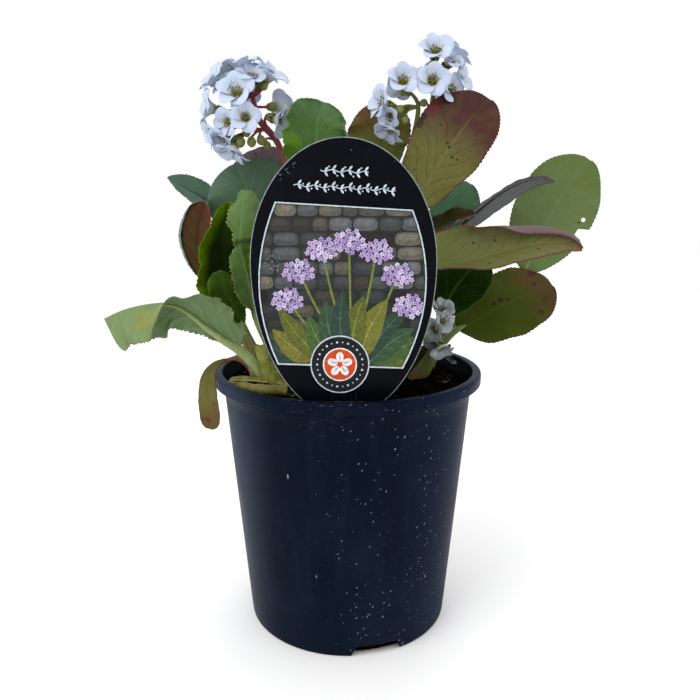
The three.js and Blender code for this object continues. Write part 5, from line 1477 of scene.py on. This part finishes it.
grow_husk("stalk_old", [(-68.5, -29.5, 156.8), (-59, -38, 159), (-48.5, -45.5, 160.4), (-31, -51.5, 161)],
          [4.9, 5.2, 5.4, 4.6], [4, 18, 30, 4], (-0.1, -0.7, 0.7), husk_finish, 1.5, 0.3)
grow_husk("sheath_pale", [(-39, -42, 149), (-40.5, -44, 165), (-45, -45, 178), (-50, -44.5, 186)],
          [5.2, 6.6, 5.8, 2.8], [120, 140, 160, 240], (0.5, 0.6, 0.5), bract_finish, 1.0, -0.1)

line = Line([(-53.5, -30, 148), (-54, -30.5, 162), (-56, -30, 176), (-61, -28, 187)])
share = np.linspace(0, 1, STUB_ROWS)
radius = np.interp(share, line.marks, [3.4, 3.4, 3.2, 3.0]) * (1 + 0.05 * np.sin(31 * share))
pile = Pile()
pile.add(*limb(line.at(share), radius * np.where(share > 0.98, 0.8, 1), 22, 0.16, 3))
pile.make("stub_cut_grown", stub_finish, replaces=["stub_cut"])

chance = chance_for("fray")
pile = Pile()
for _ in range(FRAYS):
    foot = np.array([-43, -45, 164]) + chance.normal(size=3) * (2.6, 1.2, 2.2)
    way = unit(chance.normal(size=3) + [-0.2, -0.9, 0.3])
    bend = foot + way * chance.uniform(1.5, 3) + chance.normal(size=3) * 0.4
    tip = bend + unit(way + chance.normal(size=3) * 0.5) * chance.uniform(1, 2.4)
    run = Line([foot, bend, tip]).at(np.linspace(0, 1, 8))
    pile.add(*limb(run, np.linspace(1, 0.25, 8) * chance.uniform(0.45, 0.9), 6, 0.2, 2))
pile.make("frayed_fibres", fray_finish)
print("crown pieces: old stalk, bract, stub and frayed fibres")

# %% [markdown]
# ## The soil
# Potting mix is black when moist: peat crumbs, fibres and a few pale bits. The packed soil's top gives
# the lie of the land, and several sizes of bumps are laid over it. Loose crumbs and fibres are then
# strewn on top, each half sunk in.

# %% Finish of the soil
SOIL_AT_WALL = 150.5
SOIL_CROWN = 5.0
SOIL_REACH = 73.0
CLEARANCE = 0.35
SOIL_RINGS = 84
SOIL_SEGMENTS = 220
CRUMBS = 520
FIBRES = 120
MOUNDS = [(3.5, -46, -34, 26), (7, 49, -11, 14), (10, -66, 5, 14)]
BUMP_SIZES = ((9, 0.7), (5, 0.6), (2.8, 0.45), (1.6, 0.25))

soil_finish = Finish("potting_mix", "soil", 0)
spot = soil_finish.place()
crumb = spot.cloud(1.1, 4, 0.65)
patch = spot.cloud(7, 3).rise(0.45, 0.7)
skin = crumb.rise(0.35, 0.7).blend((1, 1, 1), (18, 15, 13))
skin = skin.coat(patch * 0.35, 30, 24, 20)
pale = (0.16 - spot.cells(2.6)).rise(0, 0.03) * spot.lot(2.6, "Z").above(0.93)
skin = skin.coat(pale * 0.6, 120, 112, 98)
soil_finish.wear(skin, 0.75 + crumb * 0.2, crumb, 0.5)

fibre_finish = Finish("peat_fibre", "soil", 0.2)
strand = fibre_finish.place().cloud(1.5, 3)
fibre_finish.wear(strand.blend((20, 15, 12), (84, 66, 52)), 0.85, strand, 0.1)
print("soil finishes: potting mix and fibre, under", CRUMBS, "crumbs and", FIBRES, "fibres")


# %% The soil and what lies on it
def soil_top(x, y):
    """The soil's height at a place: a low crown with bumps, and mounds given by height, place and reach."""
    radius = np.hypot(x, y) / RIM_BORE
    bumps = np.sin(x * 0.19 + 1.1) * np.cos(y * 0.23 - 0.4) + 0.6 * np.sin(x * 0.41 - y * 0.37)
    mound = 0
    for tall, east, north, reach in MOUNDS:
        mound = mound + tall * np.exp(-((x - east) ** 2 + (y - north) ** 2) / reach**2)
    return SOIL_AT_WALL + SOIL_CROWN * (1 - radius**2) + (mound + 1.6 * bumps) * (1 - radius**6)


def crumble(x, y, chance):
    """Bumps of many sizes, each a sum of waves in chance directions."""
    height = np.zeros_like(x)
    for size, tall in BUMP_SIZES:
        for _ in range(7):
            way = chance.uniform(0, 2 * np.pi)
            phase = chance.uniform(0, 2 * np.pi)
            pitch = 2 * np.pi / (size * chance.uniform(0.75, 1.35))
            height += tall / 3 * np.abs(np.sin(pitch * (x * np.cos(way) + y * np.sin(way)) + phase))
    return height


def soil_body(chance):
    """The whole filling: a fine disc on top, then rings down the wall to the pot's floor."""
    radii = SOIL_REACH * np.linspace(0, 1, SOIL_RINGS + 1)[1:]
    turn = once_round(SOIL_SEGMENTS)
    x = radii[:, None] * np.cos(turn)
    y = radii[:, None] * np.sin(turn)
    z = soil_top(x, y) + (crumble(x, y, chance) - 1.3) * (1 - (radii / SOIL_REACH) ** 8)[:, None]
    rings = [np.stack([x, y, z], 2).reshape(-1, 3)]
    for height in (110, 60, FLOOR + CLEARANCE):
        radius = wall_radius(height) - WALL - CLEARANCE
        rings.append(np.stack([radius * np.cos(turn), radius * np.sin(turn), 0 * turn + height], 1))
    middle = [[0, 0, soil_top(0, 0)], [0, 0, FLOOR + CLEARANCE]]
    points = np.vstack([*rings, middle])
    last = SOIL_RINGS + 2
    faces = []
    for k in range(SOIL_SEGMENTS):
        n = (k + 1) % SOIL_SEGMENTS
        faces.append((len(points) - 2, k, n))
        faces.append((len(points) - 1, last * SOIL_SEGMENTS + n, last * SOIL_SEGMENTS + k))
        for i in range(last):
            a = i * SOIL_SEGMENTS
            faces.append((a + k, a + SOIL_SEGMENTS + k, a + SOIL_SEGMENTS + n, a + n))
    return points, faces


def crumb_at(spot, size, chance):
    """A lump with a knobbly, six-sided outline."""
    way = unit(chance.normal(size=3) * (1, 1, 0.5))
    share = np.array([-1, -0.6, 0.1, 0.7, 1])[:, None]
    centres = spot + way * share * size
    points, faces = limb(centres, size * np.array([0.35, 0.8, 1, 0.7, 0.3]), 6)
    return points + chance.normal(size=points.shape) * size * 0.12, faces


def strewn(share, chance):
    """A chance place on the soil, within a share of its reach."""
    return SOIL_REACH * share * np.sqrt(chance.uniform()) * toward(chance.uniform(0, 2 * np.pi))


chance = chance_for("soil")
pile = Pile()
pile.add(*soil_body(chance))
for _ in range(CRUMBS):
    x, y = strewn(0.985, chance)
    size = 0.5 + 1.5 * chance.uniform() ** 3
    pile.add(*crumb_at(np.array([x, y, soil_top(x, y) + 0.4 * size]), size, chance))
for _ in range(FIBRES):
    start = strewn(0.93, chance)
    way = unit(chance.normal(size=2))
    reach = chance.uniform(3, 9)
    run = [start + way * reach * (s - 0.5) + way[::-1] * (1, -1) * chance.normal() * 0.8 for s in (0, 0.5, 1)]
    run = [(x, y, soil_top(x, y) + lift) for (x, y), lift in zip(run, (0.1, chance.uniform(0.6, 2.2), 0.1))]
    pile.add(*limb(Line(run).at(np.linspace(0, 1, 9)), [chance.uniform(0.12, 0.3)] * 9, 5), 1)
soil = pile.make("soil_crumbly", soil_finish, fibre_finish, replaces=["soil"])
print("soil:", len(soil.data.polygons), "faces")

# %% Fallen bits and a seedling
def flake(middle, length, width, turn, tilt, bend):
    """A curled scrap of dead leaf as a small sheet."""
    along = np.linspace(-1, 1, 11)[:, None]
    across = np.linspace(1, -1, 7)[None]
    half = width / 2 * np.maximum(1 - along**2, 0.04) ** 0.5 * (1 + 0.12 * np.sin(9 * along))
    x = along * length / 2 + 0 * across
    y = across * half
    z = bend * (x**2 + 2 * y**2) / length + 0.3 * np.sin(5 * along + 2 * across)
    x, z = x * np.cos(tilt) - z * np.sin(tilt), x * np.sin(tilt) + z * np.cos(tilt)
    x, y = x * np.cos(turn) - y * np.sin(turn), x * np.sin(turn) + y * np.cos(turn)
    return np.stack([x, y, z], 2) + middle


dead_finish = stalk_finish("dead_leaf", "soil", (26, 22, 20), (10, 9, 9), (20, 16, 12))
straw_finish = stalk_finish("pale_straw", "soil", (168, 172, 168), (120, 122, 114), (140, 138, 126))
FLAKES = [((62, 22, 164.5), 15, 7, 0.5, 0.25, 0.9, 0), ((66, 16, 160.5), 11, 6, 2.4, 0.5, 0.6, 0),
          ((66.5, 20, 160.5), 8, 1.8, 2.2, 0.9, 0.5, 1), ((40.4, -1.5, 157), 6, 2.0, 0.4, 0.2, 0.8, 1),
          ((38.5, 6, 158), 5, 1.6, 1.9, 0.3, 0.6, 1), ((44, -9, 156.5), 4, 1.4, 2.8, 0.1, 0.6, 1),
          ((-30, 48, 155), 14, 6, 0.9, 0.1, 0.8, 0), ((20, 52, 154.5), 12, 7, 2.0, 0.1, 0.6, 0),
          ((-58, -8, 157), 9, 3, 1.2, 0.2, 0.6, 0), ((58, -22, 156), 8, 3, 0.2, 0.1, 0.8, 0)]
pile = Pile()
for middle, length, width, turn, tilt, bend, layer in FLAKES:
    pile.add(*sheet(flake(np.array(middle), length, width, turn, tilt, bend), 0.4), layer)
pile.make("litter", dead_finish, straw_finish)

seedling_finish = stalk_finish("seedling_green", "leaf_green", (66, 112, 26), (44, 84, 12), (58, 100, 20))
SEEDLING = np.array([-31, -50, 153])
pile = Pile()
pile.add(*limb([SEEDLING + [0, 0, z] for z in (-3, 0, 3)], [0.5, 0.45, 0.4], 8))
for x, y, tilt, turn in ((-1.9, -0.4, 0.3, 3.3), (1.8, 0.2, 0.35, 0.2), (0.2, -1.6, 0.2, 4.6)):
    pile.add(*sheet(flake(SEEDLING + [x, y, 3.2], 3.8, 3.4, turn, tilt, 0.4), 0.35))
pile.make("seedling", seedling_finish)
print("litter:", len(FLAKES), "flakes and one seedling")

# %% [markdown]
# ## The plant label
# The label is an egg-shaped card of black plastic, punched from a sheet so that its cut edge shows
# pale, on a stake with three ribs. Its print is generic here: a spray of leaves where words could be, a
# picture of lilac flowers before a stone wall, and a round badge with a five-petalled flower. Each
# printed shape is a plate a fraction of a hair thick, so its edge stays sharp however close one looks.

# %% Finishes of the label
LABEL_X = -1.8
LABEL_FRONT = -68.8
LABEL_BACK = -68.0
LABEL_MIDDLE = 231
LABEL_HALF_WIDTH = 48
LABEL_RISE = 63.2
LABEL_FALL = 81
LABEL_CUT = 158
STAKE_WIDTH = 16
STAKE_FOOT = 118
EDGE_WIDTH = 0.42


def scuffed(finish):
    """Small pale scuffs, crowded at the upper left of the card and thin elsewhere."""
    spot = finish.place()
    crowd = spot.axis("X").fall(-40, 10) * 0.12 + 0.07
    for x, z, reach in ((-32, 281, 11), (-38, 232, 9), (24, 283, 6), (2, 289, 6)):
        crowd = crowd + spot.apart((x, LABEL_FRONT, z)).fall(reach * 0.3, reach) * 0.3
    return (spot.cloud(1.3, 4, 0.7) + crowd * 0.5 - 0.83).rise(0, 0.03) * 0.75


card_finish = Finish("label_card", "label", 0.05)
scuffs = scuffed(card_finish)
haze = card_finish.place().cloud(14, 4, 0.6)
skin = (haze.rise(0.4, 0.75) * 0.5).blend((4, 7, 12), (13, 17, 23))
skin = skin.coat(scuffs, 178, 188, 196)
card_finish.wear(skin, 0.36 + haze * 0.16, haze * 0.3 + scuffs, 0.05)

edge_finish = Finish("label_cut_edge", "label", 0.3)
spot = edge_finish.place()
fray = spot.cloud(2.5, 4, 0.7)
edge_finish.wear(fray.rise(0.3, 0.75).blend((150, 160, 166), (88, 96, 104)), 0.6, fray, 0.05)

ink_finish = Finish("label_ink", "label", 0.15)
scuffs = scuffed(ink_finish)
press = ink_finish.place().cloud(1.7, 3)
tone = ink_finish.mix(press.rise(0.3, 0.75) * 0.4, ink_finish.note("ink", "Color"), paint(34, 36, 34))
ink_finish.wear(tone.coat(scuffs, 196, 202, 206), 0.38 + press * 0.12, press + scuffs, 0.03)
print("label finishes: card, cut edge and ink, with", len(ink_finish.tree.nodes), "nodes for the ink")


# %% Card, stake and shapes of ink
INK_RISE = 0.02
INK_STEP = 0.0008
INK_SUNK = 0.05
INK_LEAST = 0.3
RING_STEPS = 64


def plate(outline, inset, front, back):
    """A convex outline as a plate with a bevelled front edge: its two flat sides, then its edge."""
    outline = np.asarray(outline, float)
    count = len(outline)
    middle = outline.mean(0)
    inner = outline - unit(outline - middle) * inset
    loops = [(inner, front), (outline, front + 0.15), (outline, back)]
    points = np.vstack([np.insert(loop, 1, depth, axis=1) for loop, depth in loops])
    flats = [tuple(range(count)), tuple(range(3 * count - 1, 2 * count - 1, -1))]
    edge = []
    for a in (0, count):
        b = a + count
        edge += [(a + k, b + k, b + (k + 1) % count, a + (k + 1) % count) for k in range(count)]
    return points, flats, edge


def inked(pile, rails, tint, closed=False, window=None):
    """A flat shape between a left and a right rail as a thin closed plate in front of the last one."""
    flat = np.stack(rails, 1).reshape(-1, 2)
    if window is not None:
        flat = window(flat)
        if np.ptp(flat, axis=0).min() < INK_LEAST:
            return
    count = len(flat) // 2
    depths = (LABEL_FRONT - INK_RISE - INK_STEP * len(pile.points), LABEL_FRONT + INK_SUNK)
    points = np.vstack([np.insert(flat, 1, depth, axis=1) for depth in depths])
    b = 2 * count
    faces = []
    for i in range(count if closed else count - 1):
        k, n = 2 * i, 2 * ((i + 1) % count)
        faces += [(k, k + 1, n + 1, n), (b + k, b + n, b + n + 1, b + k + 1)]
        faces += [(k, n, b + n, b + k), (k + 1, b + k + 1, b + n + 1, n + 1)]
    if not closed:
        faces += [(0, b, b + 1, 1), (b - 2, b - 1, 2 * b - 1, 2 * b - 2)]
    pile.add(points, faces, 2, ink=np.tile(paint(*tint), (len(points), 1)))


def ribbon(path, widths):
    """The two rails of a stroke along a path."""
    path = np.asarray(path, float)
    ahead = unit(np.gradient(path, axis=0))
    side = np.stack([-ahead[:, 1], ahead[:, 0]], 1) * np.broadcast_to(widths, len(path))[:, None] / 2
    return path + side, path - side


def oval(middle, length, width, tilt=0.0, blunt=2.0, steps=9):
    """An oval's rails; blunt above 2 squares it off and below 2 points it."""
    share = np.sin(np.linspace(-1.46, 1.46, steps))
    path = np.array(middle) + np.outer(share * length / 2, toward(tilt))
    return ribbon(path, width * (1 - np.abs(share) ** blunt) ** (1 / blunt))


def ring(middle, radius, width):
    """A round line's inner and outer rail."""
    rim = toward(once_round(RING_STEPS)).T
    return middle + rim * (radius - width / 2), middle + rim * (radius + width / 2)


print("a plate of ink stands", INK_RISE, "mm proud, and each one lies", INK_STEP, "mm over the last")

# %% The label's picture and ornaments
PALE_INK = (200, 214, 222)
BADGE = np.array([-3.8, 178.9])
ARTWORK_SLOPE = -0.052
PICTURE_STEPS = 13
WINDOW_GAP = 0.3
WALL_TOP = 259
WALL_FOOT = 186
STONE_PITCH = 7.4
STONES = [(112, 116, 118), (88, 90, 92), (126, 122, 108), (70, 66, 58)]
FLORETS = 27
BADGE_DOTS = 26
BADGE_PALE = (232, 236, 236)
BADGE_RED = (206, 72, 24)
left_side = np.poly1d(np.polyfit([262.2, 218.2, 179.5], [-35.7, -44.9, -36.0], 2))
right_side = np.poly1d(np.polyfit([258.2, 218.2, 177.3], [32.7, 40.2, 29.0], 2))
top_side = np.poly1d(np.polyfit([-35.7, 32.7], [262.2, 258.2], 1))
bottom_side = np.poly1d(np.polyfit([-36.0, 29.0], [179.5, 177.3], 1))


def in_window(flat):
    """Presses a shape's corners back inside the picture."""
    z = np.clip(flat[:, 1], bottom_side(flat[:, 0]) + WINDOW_GAP, top_side(flat[:, 0]) - WINDOW_GAP)
    return np.stack([np.clip(flat[:, 0], left_side(z) + WINDOW_GAP, right_side(z) - WINDOW_GAP), z], 1)


def painted(pile, rails, tint):
    """A shape of ink that stays inside the picture."""
    inked(pile, rails, tint, window=in_window)


def leaf_of_ink(pile, foot, tilt, length, width, tint, rib):
    """A pointed leaf with a midrib and three pairs of side veins."""
    way = toward(tilt)
    side = np.array([-way[1], way[0]])
    share = np.linspace(0.01, 0.99, 11)
    path = foot + np.outer(share * length, way) + np.outer(np.sin(np.pi * share) * length * 0.06, side)
    painted(pile, ribbon(path, width * np.sin(np.pi * share**0.85) ** 0.8), tint)
    painted(pile, ribbon(path[:-1], np.linspace(0.6, 0.15, 10) * width / 9), rib)
    for start in range(2, 8, 2):
        for hand in (-1, 1):
            reach = width * 0.36 * np.sin(np.pi * share[start] ** 0.85)
            end = path[start] + way * reach * 0.9 + hand * side * reach
            bend = (path[start] + end) / 2 - way * reach * 0.12
            painted(pile, ribbon([path[start], bend, end], [0.28, 0.2, 0.1]), rib)


def floret_of_ink(pile, middle, size, tint, turn):
    """Five petals round a dark eye."""
    for k in range(PETALS):
        angle = turn + 2 * np.pi * k / PETALS
        centre = middle + 0.58 * size * toward(angle)
        painted(pile, oval(centre, size * 1.05, size * 0.78, angle, 2.2, 6), tint)
    painted(pile, oval(middle, size * 0.5, size * 0.5, steps=6), (104, 74, 104))


def wall_of_ink(pile, chance):
    """Rows of round-cornered stones, each with a lighter upper face."""
    for row, z in enumerate(np.arange(WALL_TOP, WALL_FOOT, -STONE_PITCH)):
        x = -47 - chance.uniform(0, 6)
        while x < 42:
            width = chance.uniform(7, 15)
            tone = np.array(STONES[chance.integers(4)])
            tone = tone * chance.uniform(0.5, 0.85) * (1 if row < 6 else 0.7)
            painted(pile, oval((x + width / 2, z), width - 0.7, 6.6, 0, 3.6, 11), tone)
            light = oval((x + width * 0.47, z + 0.8), width * 0.72, 3.4, 0, 2.6)
            painted(pile, light, np.minimum(tone * 1.18, 255))
            x += width


def picture_of_ink(pile, chance):
    """Lilac flower heads over leaves before a stone wall, in a pale frame."""
    along = np.linspace(0, 1, PICTURE_STEPS)
    left = np.stack([left_side(179.5 + along * 82.7), 179.5 + along * 82.7], 1)
    right = np.stack([right_side(177.3 + along * 80.9), 177.3 + along * 80.9], 1)
    inked(pile, (left, right), (40, 42, 42))
    wall_of_ink(pile, chance)
    root = np.array([0.0, 176.0])
    heads = [(-31, 213), (-25, 228), (-13, 239), (1, 243), (15, 238), (26, 226), (32, 210)]
    for head in heads:
        foot = root + [chance.uniform(-6, 6), 4]
        bend = foot * 0.4 + np.array(head) * 0.6 + [0, -5]
        painted(pile, ribbon(Line([foot, bend, head]).at(np.linspace(0, 1, 9)), 1.1), (112, 128, 52))
    greens = [(52, 78, 52), (92, 98, 34), (44, 66, 54), (66, 92, 46), (112, 112, 44)]
    ribs = [(92, 122, 88), (136, 140, 72), (82, 108, 88), (108, 136, 82), (148, 148, 84)]
    tilts = np.radians([172, 8, 158, 24, 146, 38, 131, 52, 118, 66, 103, 80, 92])
    for k, tilt in enumerate(tilts):
        length = chance.uniform(32, 46) - 4 * abs(np.sin(tilt))
        foot = root + [14 * np.cos(tilt), 3]
        leaf_of_ink(pile, foot, tilt, length, chance.uniform(10, 14), greens[k % 5], ribs[k % 5])
    lilacs = [(196, 178, 220), (178, 158, 208), (212, 200, 232), (164, 140, 192), (188, 170, 206)]
    for head in heads:
        for k in range(FLORETS):
            middle = np.array(head) + 1.4 * np.sqrt(k) * (toward(2.4 * k) * (1.1, 0.85))
            size, tint = chance.uniform(1.15, 1.5), lilacs[chance.integers(5)]
            floret_of_ink(pile, middle, size, tint, chance.uniform(0, 2 * np.pi))
    frame_path = np.vstack([left, right[::-1]])
    middle = frame_path.mean(0)
    inked(pile, (frame_path, middle + (frame_path - middle) * 1.015)[::-1], PALE_INK, closed=True)


def vine_of_ink(pile, middle, length, pairs):
    """A wavy stem with leaves on both sides and a berry between them."""
    share = np.linspace(-0.5, 0.5, 6 * pairs + 1)
    x = middle[0] + share * length
    z = middle[1] + ARTWORK_SLOPE * (x - middle[0]) + 0.55 * np.sin(2 * np.pi * share * pairs / 2)
    inked(pile, ribbon(np.stack([x, z], 1), 0.42), PALE_INK)
    for k in range(pairs):
        start = 6 * k + 3
        for hand in (-1, 1):
            tilt = hand * np.radians(52) + ARTWORK_SLOPE
            tip = np.array([x[start], z[start]]) + 1.55 * toward(tilt)
            inked(pile, oval(tip, 2.7, 1.15, tilt, 1.5), PALE_INK)
        if k:
            berry = (x[start] - 1.6, z[start] + (1.5 if k % 2 else -1.7))
            inked(pile, oval(berry, 0.8, 0.8, steps=7), PALE_INK)


def badge_of_ink(pile):
    """A five-petalled flower on red, in a ring of dots."""
    inked(pile, oval(BADGE, 30.6, 30.6, steps=41), (14, 18, 24))
    inked(pile, ring(BADGE, 15.2, 0.62), PALE_INK, closed=True)
    for k in range(BADGE_DOTS):
        size = 1.15 if k % 2 else 0.75
        dot = BADGE + 12.0 * toward(2 * np.pi * k / BADGE_DOTS)
        inked(pile, oval(dot, size, size, steps=7), PALE_INK)
    inked(pile, oval(BADGE, 18.0, 18.0, steps=29), BADGE_PALE)
    inked(pile, oval(BADGE, 16.6, 16.6, steps=29), BADGE_RED)
    for k in range(PETALS):
        angle = np.pi / 2 + 2 * np.pi * k / PETALS
        centre = BADGE + 4.0 * toward(angle)
        inked(pile, oval(centre, 5.4, 4.0, angle, 2.2), (236, 238, 236))
        inked(pile, oval(centre - (centre - BADGE) * 0.2, 3.4, 0.5, angle), BADGE_RED)
    inked(pile, oval(BADGE, 2.6, 2.6, steps=11), BADGE_RED)


print("ink shapes are ready; the artwork slopes", ARTWORK_SLOPE, "to the right")

# %% The label itself
STAKE_STEP = 0.05
RIB_HEIGHTS = (130, 131, 163, 164)
RIB_RADII = [0.3, 0.72, 0.72, 0.3]

foot_angle = np.arcsin((LABEL_MIDDLE - LABEL_CUT) / LABEL_FALL)
turn = np.linspace(-foot_angle, np.pi + foot_angle, 121)
reach = np.where(np.sin(turn) > 0, LABEL_RISE, LABEL_FALL)
egg = np.stack([LABEL_X + LABEL_HALF_WIDTH * np.cos(turn), LABEL_MIDDLE + reach * np.sin(turn)], 1)
half = STAKE_WIDTH / 2
stake = [(half, LABEL_CUT + 6), (-half, LABEL_CUT + 6), (-half, STAKE_FOOT + 10), (0, STAKE_FOOT),
         (half, STAKE_FOOT + 10)]

chance = chance_for("label")
pile = Pile()
for outline, front in ((egg, LABEL_FRONT), (np.array(stake) + [LABEL_X, 0], LABEL_FRONT + STAKE_STEP)):
    points, flats, edge = plate(outline, EDGE_WIDTH, front, LABEL_BACK)
    pile.add(points, flats + edge, 0)
    pile.layers[-len(edge) :] = [1] * len(edge)
for place in (-6, 0, 6.5):
    x = LABEL_X + place
    pile.add(*limb([(x, LABEL_FRONT, z) for z in RIB_HEIGHTS], RIB_RADII, 10), 0)
picture_of_ink(pile, chance)
vine_of_ink(pile, (-1.2, 277.6), 24, 6)
vine_of_ink(pile, (-1.2, 269.6), 51, 12)
badge_of_ink(pile)
label = pile.make("label_printed", card_finish, edge_finish, ink_finish, replaces=["label"])
label.data.set_sharp_from_angle(angle=np.radians(35))
print("label:", len(label.data.polygons), "faces in", len(pile.points), "shapes")
